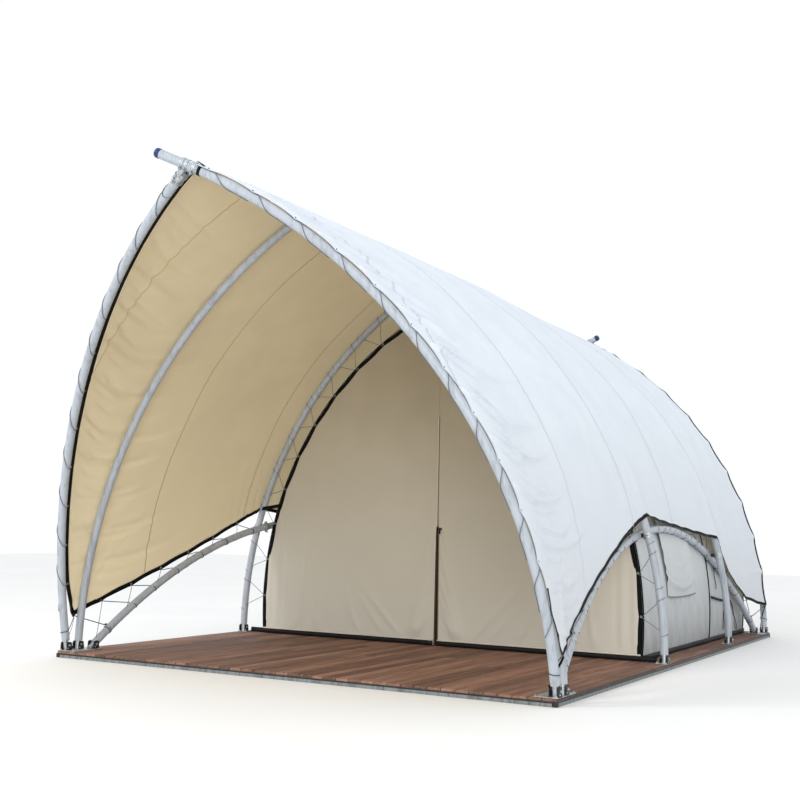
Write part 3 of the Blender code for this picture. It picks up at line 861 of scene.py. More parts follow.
def canopyHalf(label, side):
    rows = canopySet["rows"]
    columns = canopySet["columns"]
    bpy.ops.mesh.primitive_grid_add(x_subdivisions=rows, y_subdivisions=columns, size=1)
    item = bpy.context.object
    item.name = f"canopySkin_{label}"
    data = item.data
    data.name = item.name
    count = len(data.vertices)
    flat = np.empty(count * 3)
    data.vertices.foreach_get("co", flat)
    flat = flat.reshape(-1, 3)
    even = np.clip(flat[:, 0] + 0.5, 0.0, 1.0)
    share = np.clip(flat[:, 1] + 0.5, 0.0, 1.0)
    # rows lie closer towards the two laced edges, where the cloth is pinched
    along = even - 0.16 * np.sin(2 * np.pi * even) / (2 * np.pi) - 0.30 * even * (1 - even) ** 3
    front = endArch("front", share)
    rear = endArch("rear", share)
    # at both ends the edge winds round the tube from tie to tie, and hangs free of it near its foot
    tieTurn, freeTurn = (math.radians(turn) for turn in canopySet["wrap"][label])
    scallop = np.abs(np.sin(np.pi * share / canopySet["frontTie"])) ** 0.8 * np.clip((0.96 - share) * 40, 0, 1)
    frontTurn = tieTurn + (freeTurn - tieTurn) * np.maximum(scallop, np.clip(1 - share / 0.10, 0, 1))
    hug = tubeRadius + 0.002
    start = front + hug * np.sin(frontTurn) + 0.07 * np.clip(1 - share / 0.12, 0, 1) ** 2
    tieTurn, freeTurn = (math.radians(turn) for turn in canopySet["rearWrap"])
    scallop = np.abs(np.sin(np.pi * share / canopySet["rearTie"])) ** 0.8 * np.clip((1 - share) * 12, 0, 1)
    rearTurn = tieTurn + (freeTurn - tieTurn) * scallop
    end = rear - hug * np.sin(rearTurn)
    y = start + (end - start) * along
    # the cloth lies on the tube as far as it winds round it, and leaves it gently
    offset = canopySet["offset"] * np.ones_like(y)
    for past, turn in ((y - front, frontTurn), (rear - y, rearTurn)):
        behindTop = np.maximum(turn, 0.0)
        edge = hug * np.cos(behindTop)
        away = np.clip((past - hug * np.sin(behindTop)) / np.where(turn > 0.3, canopySet["tuckLength"], 0.14), 0, 1)
        offset = np.minimum(offset, offset + (edge - offset) * (1 - away) ** 2)
        offset = np.where(past < 0, np.sqrt(np.clip(hug ** 2 - past ** 2, 1e-6, 1)), offset)
    x, y, z = skinAt(y, share, offset)
    # the lower edge curves up a little between its ties
    z = z + canopySet["lowScallop"] * np.abs(np.sin(np.pi * (y + 4.3) / canopySet["lowTie"])) * (1 - share) ** 40
    grid = np.stack([x * side, y, z], axis=1)
    data.vertices.foreach_set("co", grid.ravel())
    data.update()
    normals = np.empty(count * 3)
    data.vertices.foreach_get("normal", normals)
    normals = normals.reshape(-1, 3)
    outward = normals * np.where(normals[:, 0:1] * side + normals[:, 2:3] > 0, 1.0, -1.0)
    turned = float((normals * outward).sum()) < 0
    grid = grid + outward * canopyWrinkles(x, y, share, start, end, side)[:, None]
    grid[np.abs(share - 1) < 1e-6, 0] = side * clearance / 2
    data.vertices.foreach_set("co", grid.ravel())
    # the sheet's UV in metres, so that the weave keeps its size
    corners = np.empty(len(data.loops), dtype=np.int32)
    data.loops.foreach_get("vertex_index", corners)
    spots = np.stack([along * canopySet["length"], share * canopySet["girth"]], axis=1)[corners]
    data.uv_layers[0].data.foreach_set("uv", spots.ravel())
    if turned:
        data.flip_normals()
    data.update()
    data.materials.append(canopyOutside)
    data.materials.append(canopyInside)
    finishModifier(item, "SOLIDIFY", thickness=canopySet["thickness"], offset=1.0, material_offset=1,
                   material_offset_rim=0, use_even_offset=False)
    choose(item)
    bpy.ops.object.shade_smooth()
    return item, grid.reshape(columns + 1, rows + 1, 3), share.reshape(columns + 1, rows + 1)


def inFrom(grid, way, distances):
    # spots on the cloth that lie the given distances in from one of its edges, and the way out of the cloth
    lines = {"front": grid, "rear": grid[:, ::-1], "low": grid.transpose(1, 0, 2),
             "ridge": grid[::-1].transpose(1, 0, 2)}[way]
    distances = np.broadcast_to(distances, (len(lines), np.shape(distances)[-1]))
    spots = []
    for line, steps in zip(lines, distances):
        walked = np.concatenate([[0.0], np.cumsum(np.linalg.norm(np.diff(line[:60], axis=0), axis=1))])
        spots.append(np.stack([np.interp(steps, walked, line[:60, axis]) for axis in range(3)], axis=1))
    spots = np.array(spots)
    return spots, wayOut(spots)


def seamSpots(grid, y, distances):
    # the same for a seam that crosses the cloth at a given y
    spots = []
    for line in grid:
        if line[0, 1] < y - 0.02 and line[-1, 1] > y + 0.02:
            spots.append(np.stack([np.interp(y + distances, line[:, 1], line[:, axis]) for axis in range(3)], axis=1))
    spots = np.array(spots)
    return spots, wayOut(spots)


def wayOut(spots):
    out = np.cross(np.gradient(spots, axis=0), np.gradient(spots, axis=1))
    out /= np.linalg.norm(out, axis=2)[:, :, None]
    away = spots * np.array([1.0, 0.0, 0.0]) + np.array([0.0, 0.0, 0.6])
    return out * np.where((out * away).sum(axis=2) > 0, 1.0, -1.0)[:, :, None]


def ribbon(name, spots, out, lift, thickness, material):
    # webbing, tape or binding that follows the cloth; lift is from the cloth's inner face to its own middle
    lines, rows = spots.shape[:2]
    bpy.ops.mesh.primitive_grid_add(x_subdivisions=lines - 1, y_subdivisions=rows - 1, size=1)
    item = bpy.context.object
    item.name = name
    item.data.name = name
    laid = spots + out * (lift - thickness / 2)
    item.data.vertices.foreach_set("co", laid.transpose(1, 0, 2).ravel())
    along = np.concatenate([[0.0], np.cumsum(np.linalg.norm(np.diff(spots[:, 0], axis=0), axis=1))])
    across = np.concatenate([[0.0], np.cumsum(np.linalg.norm(np.diff(spots[0], axis=0), axis=1))])
    uv = np.stack(np.broadcast_arrays(along[None, :], across[:, None]), axis=2).reshape(-1, 2)
    corners = np.empty(len(item.data.loops), dtype=np.int32)
    item.data.loops.foreach_get("vertex_index", corners)
    item.data.uv_layers[0].data.foreach_set("uv", uv[corners].ravel())
    item.data.update()
    middle = item.data.polygons[len(item.data.polygons) // 2]
    facing = out[(lines - 1) // 2, 0]
    if Vector(facing).dot(middle.normal) < 0:
        item.data.flip_normals()
    item.data.materials.append(material)
    finishModifier(item, "SOLIDIFY", thickness=thickness, offset=1.0, use_even_offset=False)
    choose(item)
    bpy.ops.object.shade_smooth_by_angle(angle=math.radians(50))
    return item


trimSet = {
    # widths of the webbing on the inner side of each edge, at its two ends and half way
    "inner": {"front": (0.055, 0.080, 0.115), "rear": (0.050, 0.050, 0.050), "low": (0.055, 0.048, 0.045)},
    # and of the binding on the outer side
    "outer": {"front": 0.012, "rear": 0.045, "low": 0.044},
    "webbing": 0.0022, "binding": 0.0016, "tape": 0.0014,
    "hem": 0.014, "seamInside": 0.012, "seamOutside": 0.034, "ridge": 0.035,
}
canopyEdges = {}


def trimCanopy(label, grid, share):
    trims = []
    outerFace = canopySet["thickness"]
    for way in ("front", "rear", "low"):
        count = len(grid) if way != "low" else len(grid[0])
        wide = np.interp(np.linspace(0, 1, count), [0.0, 0.5, 1.0], trimSet["inner"][way])[:, None]
        spots, out = inFrom(grid, way, wide * np.linspace(0.0, 1.0, 4))
        into = spots[:, 1] - spots[:, 0]
        into /= np.linalg.norm(into, axis=1)[:, None]
        canopyEdges[label, way] = (spots[:, 0], into, out[:, 0], share[:, 0] if way != "low" else None)
        trims.append(ribbon(f"{way}Web", spots, out, -0.0015, trimSet["webbing"], blackWebbing))
        spots, out = inFrom(grid, way, wide + np.array([0.0, trimSet["hem"]]))
        trims.append(ribbon(f"{way}Hem", spots, out, -0.0012, trimSet["tape"], hemTapeCream))
        spots, out = inFrom(grid, way, trimSet["outer"][way] * np.linspace(0.0, 1.0, 4))
        if way == "front":
            # white but for its foot, where it is bare webbing
            foot = int(len(spots) * 0.125)
            bare, away = inFrom(grid, way, np.array([0.0, 0.009, 0.018, 0.026]))
            trims.append(ribbon("frontFoot", bare[:foot], away[:foot], outerFace + 0.0014, trimSet["binding"],
                                blackWebbing))
            spots, out = spots[foot:], out[foot:]
        trims.append(ribbon(f"{way}Binding", spots, out, outerFace + 0.0016, trimSet["binding"],
                            seamTape if way == "front" else blackWebbing))
        if way == "rear":
            # a black welt with a rope sewn in; drawn thick, it also stands in for the shadow in the gap along this
            # edge
            welt = [Vector(spot) for spot in spots[1:-1, 0] + out[1:-1, 0] * 0.004]
            trims.append(sweep("rearWelt", welt, circle(0.015, 8), [blackWebbing]))
    spots, out = inFrom(grid, "ridge", np.array([0.0, trimSet["ridge"]]))
    trims.append(ribbon("ridgeTape", spots, out, outerFace + 0.0011, trimSet["tape"], seamTape))
    for y in canopySet["seams"]:
        spots, out = seamSpots(grid, y, np.array([0.0, trimSet["seamInside"]]))
        trims.append(ribbon("seamInside", spots, out, -0.0010, trimSet["tape"], seamTapeCream))
        spots, out = seamSpots(grid, y, np.array([0.0, trimSet["seamOutside"]]) - 0.01)
        trims.append(ribbon("seamOutside", spots, out, outerFace + 0.0010, trimSet["tape"], seamTape))
    return join(f"canopyTrim_{label}", trims)


def buildCanopy():
    for label, side in sides.items():
        item, grid, share = canopyHalf(label, side)
        wear(item, "canopy_canvas", f"canopy_porch_{label}", f"canopy_room_{label}", f"canopy_rear_{label}")
        trim = trimCanopy(label, grid, share)
        wear(trim, "canopy_canvas")
    print("canopy laid over the arches")


buildCanopy()


# deck

deckSet = {"boards": 42, "gap": 0.006, "thickness": 0.025, "bevel": 0.003, "endGap": 0.004,
           "lengths": (2.4, 3.0, 3.6)}


def buildBoards():
    low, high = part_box("deck_boards")
    pitch = (high.x - low.x) / deckSet["boards"]
    wide = pitch - deckSet["gap"]
    bpy.ops.mesh.primitive_cube_add(size=1)
    board = bpy.context.object
    board.scale = (wide, 1.0, deckSet["thickness"])
    settle(board, "deckBoardPattern", deckWood)
    bpy.ops.object.mode_set(mode="EDIT")
    bpy.ops.mesh.select_all(action="SELECT")
    bpy.ops.mesh.bevel(offset=deckSet["bevel"], segments=1)
    bpy.ops.object.mode_set(mode="OBJECT")
    dice = random.Random(11)
    boards = []
    for number in range(deckSet["boards"]):
        middle = low.x + pitch * (number + 0.5)
        start = low.y + dice.uniform(0.0, 0.010)
        first = dice.choice(deckSet["lengths"]) * dice.uniform(0.6, 1.0)
        while start < high.y - 0.01:
            end = min(start + first, high.y)
            if high.y - end < 0.8:
                end = high.y
            length = end - start - (0 if end == high.y else deckSet["endGap"])
            drop = dice.uniform(0.0, 0.0012)
            place = Matrix.Translation((middle + dice.uniform(-0.001, 0.001), start + length / 2,
                                        high.z - deckSet["thickness"] / 2 - drop))
            twin = duplicate(board, place @ Matrix.Diagonal((1, length, 1, 1)))
            tone = (dice.random(), dice.random() * 3, dice.random(), 1.0)
            layer = twin.data.color_attributes.new("boardTone", "FLOAT_COLOR", "POINT")
            layer.data.foreach_set("color", np.tile(tone, len(twin.data.vertices)))
            boards.append(twin)
            start = end
            first = dice.choice(deckSet["lengths"])
    bpy.data.objects.remove(board, do_unlink=True)
    deck = join("deckBoards", boards)
    deck.data.materials.clear()
    deck.data.materials.append(deckWood)
    wear(deck, "deck_boards", "deck_boards")
    print("deck boards laid")


def dressFrame():
    # the deck frame keeps its solid; the trim along its rim is added
    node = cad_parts["deck_frame"]
    node.data.materials.clear()
    node.data.materials.append(greyPaint)
    low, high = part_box("deck_frame")
    trims = []
    # painted shade: a black strip between the boards and the frame stands in for the shadowed gap there, seen as a
    # dark line all round
    for middle, size in (((0, low.y, 0.0), (6.0, 0.006, 0.013)), ((0, high.y, 0.0), (6.0, 0.006, 0.013)),
                         ((low.x, 0, 0.0), (0.006, 8.8, 0.013)), ((high.x, 0, 0.0), (0.006, 8.8, 0.013))):
        bpy.ops.mesh.primitive_cube_add(size=1, location=(middle[0], middle[1], 0.0375))
        joint = bpy.context.object
        joint.scale = size
        settle(joint, "joint", blackPlastic)
        finishModifier(joint, "BEVEL", width=0.001, segments=1)
        trims.append(joint)
    for side in (-1, 1):
        for end in (-1, 1):
            # moulded end pieces close the frame's hollow sections at the corners
            bpy.ops.mesh.primitive_cube_add(size=1, location=(side * 2.980, end * 4.380, 0.0235))
            piece = bpy.context.object
            piece.scale = (0.050, 0.050, 0.043)
            settle(piece, "cornerPiece", blackPlastic)
            finishModifier(piece, "BEVEL", width=0.004, segments=2)
            trims.append(piece)
        # a dull metal strip guards the outermost boards' edges
        bpy.ops.mesh.primitive_cube_add(size=1, location=(side * 2.9995, 0, 0.0635))
        strip = bpy.context.object
        strip.scale = (0.004, 8.78, 0.014)
        settle(strip, "edgeStrip", darkSteel)
        finishModifier(strip, "BEVEL", width=0.001, segments=1)
        trims.append(strip)
    # countersunk screw heads near the boards' front and back ends
    pitch = (high.x - low.x) / deckSet["boards"]
    bpy.ops.mesh.primitive_cylinder_add(vertices=10, radius=0.0042, depth=0.0016)
    screw = settle(bpy.context.object, "screw", zincPlate)
    for number in range(deckSet["boards"]):
        for shift in (-0.035, 0.035):
            for y in (low.y + 0.028, -2.2, 0.0, 2.2, high.y - 0.028):
                spot = (low.x + pitch * (number + 0.5) + shift, y, deckTop - 0.0002)
                trims.append(duplicate(screw, Matrix.Translation(spot)))
    bpy.data.objects.remove(screw, do_unlink=True)
    item = join("deckTrims", trims)
    wear(smooth(item), "deck_frame")


buildBoards()
dressFrame()


# the inner room

roomSet = {
    "front": -0.935, "joint": 2.05, "back": 4.05,
    "halfWidth": 2.66, "apex": 4.45, "centreZ": 0.49,
    "floor": deckTop + clearance + 0.006,
    "cloth": 0.004, "skin": 0.0025,
    "zipTop": 2.95,
}
roomArc = makeArc(roomSet["halfWidth"], roomSet["floor"], roomSet["apex"], roomSet["centreZ"])
roomLow = arcAngle(roomArc, roomSet["floor"] + clearance)
roomGirth = roomArc["radius"] * (roomArc["apex"] - roomLow)


def roomSpot(share, offset=0.0):
    # x and z on the room's section, share from the floor to the ridge
    angle = roomLow + (roomArc["apex"] - roomLow) * share
    reach = roomArc["radius"] + offset
    x = reach * np.cos(angle) - roomArc["centreX"]
    z = reach * np.sin(angle) + roomArc["centreZ"]
    return x, z, np.cos(angle), np.sin(angle)


def clothGrid(name, across, along, place, materials, thickness, flat, outside=1.0):
    # a sheet: a grid primitive laid out by place(u, v); its UV is in metres
    bpy.ops.mesh.primitive_grid_add(x_subdivisions=across, y_subdivisions=along, size=1)
    item = bpy.context.object
    item.name = name
    item.data.name = name
    data = item.data
    spots = np.empty(len(data.vertices) * 3)
    data.vertices.foreach_get("co", spots)
    spots = spots.reshape(-1, 3)
    u = np.clip(spots[:, 0] + 0.5, 0, 1)
    v = np.clip(spots[:, 1] + 0.5, 0, 1)
    data.vertices.foreach_set("co", np.stack(place(u, v), axis=1).ravel())
    corners = np.empty(len(data.loops), dtype=np.int32)
    data.loops.foreach_get("vertex_index", corners)
    data.uv_layers[0].data.foreach_set("uv", np.stack([u * flat[0], v * flat[1]], axis=1)[corners].ravel())
    data.update()
    if outside < 0:
        data.flip_normals()
    for material in materials:
        data.materials.append(material)
    finishModifier(item, "SOLIDIFY", thickness=thickness, offset=1.0,
                   material_offset=len(materials) - 1, use_even_offset=False)
    choose(item)
    bpy.ops.object.shade_smooth()
    return item


def bump(value, middle, width):
    return np.exp(-((value - middle) / width) ** 2)


def sideSkin(label, side):
    # the room's side from the front corner to the piping at its back
    start = roomSet["front"] + 0.004
    end = roomSet["joint"] - 0.002

    def place(u, v):
        y = start + (end - start) * u
        share = v ** 1.15
        x, z, outX, outZ = roomSpot(share)
        low = np.clip(1 - z / 1.5, 0, 1)
        edges = np.clip(np.minimum(y - start, end - y) / 0.12, 0, 1)
        # the canvas hangs slack: it is held at its corners and gathers in soft upright folds below the flap
        lift = 0.018 * edges * low ** 0.7 * np.sin(2 * np.pi * y / 0.21 + 1.3 * np.sin(3 * z)) * bump(y, 0.6, 0.75)
        lift += 0.014 * edges * low * np.sin(2 * np.pi * (y + 0.45 * z) / 0.34 + 0.8)
        # drag folds that climb from the rear bottom corner
        for number, tilt in enumerate((0.55, 0.9, 1.35, 1.9)):
            line = z - roomSet["floor"] - tilt * (end - 0.05 - y)
            reach = np.hypot(end - y, z - roomSet["floor"])
            lift += 0.026 * np.exp(-(line / (0.018 + 0.05 * reach)) ** 2) * np.clip(reach / 0.2, 0, 1) \
                * np.exp(-reach / 0.6)
        for tilt in (0.8, 1.7):
            line = z - roomSet["floor"] - tilt * (y - start - 0.05)
            reach = np.hypot(y - start, z - roomSet["floor"])
            lift += 0.020 * np.exp(-(line / (0.016 + 0.06 * reach)) ** 2) * np.clip(reach / 0.2, 0, 1) \
                * np.exp(-reach / 0.5)
        belly = 0.022 * edges * np.sin(np.pi * np.clip((z - 0.08) / 1.5, 0, 1)) * np.clip((y - start) / 0.5, 0, 1)
        lift = (lift + belly) * np.clip((z - 0.085) / 0.16, 0, 1) ** 0.8
        return side * (x + outX * lift), y, z + outZ * lift

    item = clothGrid(f"roomSide_{label}", 150, 110, place, [sideCanvas, roomCanvas], roomSet["skin"],
                     (end - start, roomGirth), side)
    wear(item, "wall_canvas", f"room_skin_{label}")
    return item


def annexSkin(label, side):
    start = roomSet["joint"] + 0.002
    end = roomSet["back"] - 0.004

    def place(u, v):
        y = start + (end - start) * u
        x, z, outX, outZ = roomSpot(v ** 1.1)
        edges = np.clip(np.minimum(y - start, end - y) / 0.12, 0, 1)
        low = np.clip(1 - z / 1.5, 0, 1)
        # the lower panel is tied back, with a crease where the two panels meet
        tuck = -0.030 * bump(z, 0.66, 0.035) - 0.018 * bump(z, 1.17, 0.03)
        folds = 0.012 * low * np.sin(2 * np.pi * (y + 0.25 * z) / 0.26) + 0.007 * np.sin(2 * np.pi * y / 0.13) * low ** 2
        # a deep V fold under the upper strap
        fold = -0.035 * np.exp(-((y - 2.35 - 0.35 * (1.12 - z)) / 0.05) ** 2) * np.clip((1.15 - z) * 4, 0, 1) \
            * np.clip((z - 0.70) * 6, 0, 1)
        lift = (folds + fold + tuck) * edges * np.clip((z - 0.085) / 0.12, 0, 1)
        return side * (x + outX * lift), y, z + outZ * lift

    item = clothGrid(f"annexSide_{label}", 100, 96, place, [sideCanvas, roomCanvas], roomSet["skin"],
                     (end - start, roomGirth), side)
    wear(item, "wall_canvas", f"annex_skin_{label}")
    return item


flapSet = {"lowY": -0.03, "highY": 1.21, "lowStep": 3 / 24, "highStep": 8 / 24, "offset": 0.008}


def windowFlap(label, side):
    lowY = flapSet["lowY"]
    highY = flapSet["highY"]

    def place(u, v):
        y = lowY + (highY - lowY) * u
        share = flapSet["lowStep"] + (flapSet["highStep"] - flapSet["lowStep"]) * v
        middle = (lowY + highY) / 2
        centred = (u - 0.5) * 2
        # its upper corners are round
        narrow = 1 - 0.16 * np.clip((v - 0.72) / 0.28, 0, 1) ** 2
        y = middle + (y - middle) * narrow
        share = share - 0.012 * np.abs(centred) ** 3 * np.clip((v - 0.7) / 0.3, 0, 1)
        # the hem dips in the middle and the slack above it lies in hanging folds
        share = share - 0.004 * (1 - centred ** 2) * (1 - v)
        x, z, outX, outZ = roomSpot(share, flapSet["offset"])
        lift = np.zeros_like(u)
        for height, depth, width, dip in ((0.20, 0.044, 0.040, 0.10), (0.31, 0.024, 0.034, 0.13),
                                          (0.47, 0.016, 0.045, 0.15), (0.63, 0.010, 0.05, 0.16)):
            line = v - height - dip * (centred ** 2 - 1) * 0.9
            lift += depth * np.exp(-(line / width) ** 2) * (1 - 0.55 * centred ** 2)
        lift += 0.004 * np.sin(9 * u + 4 * v)
        lift += 0.034
        return side * (x + outX * lift), y, z + outZ * lift

    length = roomGirth * (flapSet["highStep"] - flapSet["lowStep"])
    item = clothGrid(f"windowFlap_{label}", 90, 80, place, [sideCanvas], 0.002, (highY - lowY, length), side)
    wear(item, "wall_canvas", f"window_flap_{label}")
    # a dark bound hem along its lower edge
    line = []
    for step in range(25):
        u = np.array([step / 24])
        x, y, z = place(u, np.array([0.0]))
        line.append(Vector((x[0] + side * 0.003, y[0], z[0] + 0.006)))
    hem = sweep(f"flapHem_{label}", line, band(0.016, 0.005), [hemTape],
                ups=[Vector((side, 0, 0.15)).normalized()] * len(line))
    wear(hem, "wall_canvas")


hemTape = stripMaterial("polyester_binding_grey", "#8C9298", "#747A80", 0.006, 0.75)
zipTape = stripMaterial("nylon_zip_tape_brown", "#4C3B30", "#35281F", 0.004, 0.7)


def zipSlit(z):
    # half the width of the door's slit: the zip is done up above its slider and open below it
    return np.interp(z, [0.08, 1.0, 1.50, 1.62, 2.95], [0.014, 0.009, 0.006, 0.0012, clearance / 2])


def frontWallHalf(label, side):
    # grid rows follow the height; each row runs from the zip to the wall's edge
    lowest = roomSet["floor"] + 0.0006
    highest = roomSpot(np.array([1.0]), roomSet["cloth"])[1][0] - 0.004
    heights = np.linspace(0, 1, 400)
    edgeX, edgeZ = roomSpot(heights, roomSet["cloth"])[:2]

    def place(u, v):
        z = lowest + (highest - lowest) * v
        edge = np.interp(z, edgeZ, edgeX)
        slit = zipSlit(z)
        x = slit + (edge - slit) * u
        # the edge is drawn in between its eyelets
        x = x - 0.018 * np.abs(np.sin(np.pi * 11 * np.interp(z, edgeZ, heights))) * u ** 20
        fold = np.zeros_like(u)
        low = np.clip(1 - z / 2.2, 0, 1)
        fromZip = x - slit
        # folds that fan out from the slit towards the floor
        for top, tilt, depth in ((1.05, 0.34, 0.022), (0.80, 0.42, 0.022), (0.62, 0.55, 0.020),
                                 (1.45, 0.26, 0.014), (0.42, 0.85, 0.016), (1.9, 0.2, 0.009)):
            line = fromZip - tilt * (top - z)
            away = np.clip((top - z) / 0.25, 0, 1)
            width = 0.016 + 0.038 * np.clip(top - z, 0, 2)
            fold += depth * np.exp(-(line / width) ** 2) * away
        # long soft folds that climb from the floor towards the wall's edge
        for foot, tilt, depth, reach in ((0.35, 0.95, 0.016, 1.0), (0.62, 0.80, 0.013, 0.8), (1.0, 0.65, 0.009, 0.7)):
            line = (x - foot) - tilt * z
            fold += depth * np.exp(-(line / (0.03 + 0.05 * z)) ** 2) * np.exp(-(z / reach) ** 2)
        # the seam of the side panel, and the slack folds beside it
        fold -= 0.006 * bump(x, 2.28 + 0.0 * z, 0.018) * low
        fold += 0.011 * low ** 0.5 * np.sin(2 * np.pi * x / 0.16) * np.clip((x - 2.2) / 0.2, 0, 1)
        for spread in (-0.14, 0.13):
            line = x - 1.95 - spread * (1.35 - z)
            fold += 0.020 * np.exp(-(line / (0.018 + 0.03 * np.clip(1.35 - z, 0, 2))) ** 2) \
                * np.clip((1.38 - z) / 0.3, 0, 1)
        line = x - 1.35 - 0.35 * (0.75 - z) * -1
        fold += 0.008 * np.exp(-(line / 0.035) ** 2) * np.clip((0.85 - z) / 0.2, 0, 1)
        # a broad belly, as the canvas only hangs from its laced edge
        belly = 0.022 * np.sin(np.pi * u) * np.sin(np.pi * np.clip(v * 1.05, 0, 1))
        fold = (fold + belly) * np.clip(u * 40, 0, 1) * np.clip((1 - u) * 25, 0, 1) * np.clip((z - 0.145) / 0.12, 0, 1)
        y = roomSet["front"] - 0.002 - fold
        return side * x, y, z

    item = clothGrid(f"frontWall_{label}", 130, 210, place, [roomCanvas], 0.0025, (2.66, 4.3), side)
    wear(item, "wall_canvas", f"front_wall_{label}")
    return item


def rearBulge(x, z):
    # how far back the rear wall hangs: slack folds low down, and seams that pull in
    heights = np.linspace(0, 1, 400)
    edgeX, edgeZ = roomSpot(heights, roomSet["cloth"])[:2]
    edge = np.interp(z, edgeZ, edgeX)
    height = np.clip((z - roomSet["floor"]) / (edgeZ[-1] - roomSet["floor"]), 0, 1)
    low = np.clip(1 - z / 2.2, 0, 1)
    fold = 0.020 * np.sin(2 * np.pi * (x + 0.2 * z) / 0.42) * low + 0.010 * np.sin(2 * np.pi * x / 0.19) * low ** 2
    for foot, tilt, depth in ((-1.7, 0.5, 0.022), (-0.9, 0.28, 0.018), (0.7, -0.3, 0.020), (1.6, -0.55, 0.024),
                              (0.1, 0.12, 0.014)):
        line = x - foot - tilt * z
        fold = fold + depth * np.exp(-(line / (0.03 + 0.05 * z)) ** 2) * np.exp(-(z / 1.1) ** 2)
    for seam in rearSeams:
        fold = fold - 0.010 * np.exp(-((x - seam) / 0.03) ** 2)
    fold = fold + 0.03 * (1 - (x / np.maximum(edge, 0.01)) ** 2) * np.sin(np.pi * height)
    fold = fold * np.clip((edge - np.abs(x)) / 0.09, 0, 1) * np.clip((z - 0.145) / 0.12, 0, 1)
    return roomSet["back"] + 0.002 + fold


rearSeams = (-1.32, 0.0, 1.32)


def rearWall():
    lowest = roomSet["floor"] + 0.0006
    highest = roomSpot(np.array([1.0]), roomSet["cloth"])[1][0] - 0.004
    edgeX, edgeZ = roomSpot(np.linspace(0, 1, 400), roomSet["cloth"])[:2]

    def place(u, v):
        z = lowest + (highest - lowest) * v
        x = (u - 0.5) * 2 * np.interp(z, edgeZ, edgeX)
        return x, rearBulge(x, z), z

    item = clothGrid("rearWall", 190, 130, place, [sideCanvas, roomCanvas], 0.0025, (5.32, 4.3), -1)
    wear(item, "wall_canvas", "rear_wall")


def buildRoom():
    for label, side in sides.items():
        sideSkin(label, side)
        annexSkin(label, side)
        windowFlap(label, side)
        frontWallHalf(label, side)
    rearWall()
    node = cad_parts["groundsheet"]
    node.data.materials.clear()
    node.data.materials.append(blackSheet)
    print("room hung")


buildRoom()


# lacing

ropeSet = {"radius": 0.0045, "around": 8}


def tubeFrame(arc, angle):
    # centre of an arch tube, with its outward, forward and upward directions
    run = arcRun(arc, angle)
    outward = (arcPoint(arc, angle, 0.1) - arcPoint(arc, angle)).normalized()
    outward = (outward - run * outward.dot(run)).normalized()
    forward = run.cross(outward)
    if forward.y > 0:
        forward = -forward
    return arcPoint(arc, angle), outward, forward


def onTube(arc, angle, turn, radius):
    centre, outward, forward = tubeFrame(arc, angle)
    bend = math.radians(turn)
    return centre + (outward * math.cos(bend) + forward * math.sin(bend)) * radius


def nearestAngle(arc, spot):
    best = min(range(700), key=lambda step: (arcPoint(arc, arc["apex"] * step / 699) - spot).length)
    return arc["apex"] * best / 699


def grommets(label, way, places, byShare=True, setIn=0.022):
    edge, into, outward, share = canopyEdges[label, way]
    result = []
    for place in places:
        number = int(np.argmin(np.abs((share if byShare else edge[:, 1]) - place)))
        spot = Vector(edge[number] + into[number] * setIn)
        result.append((spot, Vector(outward[number]), Vector(into[number])))
    return result


def archLacing(label, side, title, way, places, late):
    # one rope spirals down the tube and goes through the canopy's edge at every tie
    arc = arcs[title]
    ties = grommets(label, way, places)
    reach = tubeRadius + ropeSet["radius"]
    back = 1 if way == "front" else -1
    controls = []
    angles = [nearestAngle(arc, Vector((spot.x * side, spot.y, spot.z))) for spot, out, into in ties]
    for number, (spot, out, into) in enumerate(ties):
        angle = angles[number]
        drop = angle - (angles[number + 1] if number + 1 < len(ties) else angle - (angles[0] - angles[1]))
        controls.append(spot - out * 0.004)
        controls.append(spot + out * 0.012 - into * 0.012)
        if late:
            turns = [(0.03, -30), (0.16, -12), (0.30, 0), (0.45, 30), (0.60, 70), (0.76, 115), (0.90, 155),
                     (0.97, 195)]
        else:
            turns = [(0.03, -30), (0.10, 5), (0.20, 45), (0.31, 90), (0.42, 132), (0.52, 165), (0.70, 178),
                     (0.86, 180), (0.97, 205)]
        if number + 1 == len(ties):
            turns = turns[:5]
        for share, turn in turns:
            place = onTube(arc, angle - drop * share, turn * back, reach)
            controls.append(Vector((place.x * side, place.y, place.z)))
    line = curved(controls, 4)
    return sweep(f"{way}Lace_{label}", line, circle(ropeSet["radius"], ropeSet["around"]), [greyRope])


def eyelets(name, ties, radius=0.011):
    # brass eyelets, zinc-plated: small rolled rings on the webbing's both sides
    rings = []
    for spot, out, into in ties:
        bpy.ops.mesh.primitive_torus_add(major_radius=radius, minor_radius=0.0032, major_segments=14,
                                         minor_segments=6, location=spot,
                                         rotation=out.to_track_quat("Z", "Y").to_euler())
        rings.append(bpy.context.object)
    for ring in rings:
        settle(ring, name, zincPlate)
    rings = join(name, rings)
    choose(rings)
    bpy.ops.object.shade_smooth()
    return rings


def lowTubeSpot(y, turn, side, radius):
    spot = lowArchPoint(y)
    run = (lowArchPoint(y + 0.01) - lowArchPoint(y - 0.01)).normalized()
    outward = Vector((1, 0, 0))
    outward = (outward - run * outward.dot(run)).normalized()
    up = run.cross(outward)
    if up.z < 0:
        up = -up
    bend = math.radians(turn)
    place = spot + (outward * math.cos(bend) + up * math.sin(bend)) * radius
    return Vector((place.x * side, place.y, place.z))


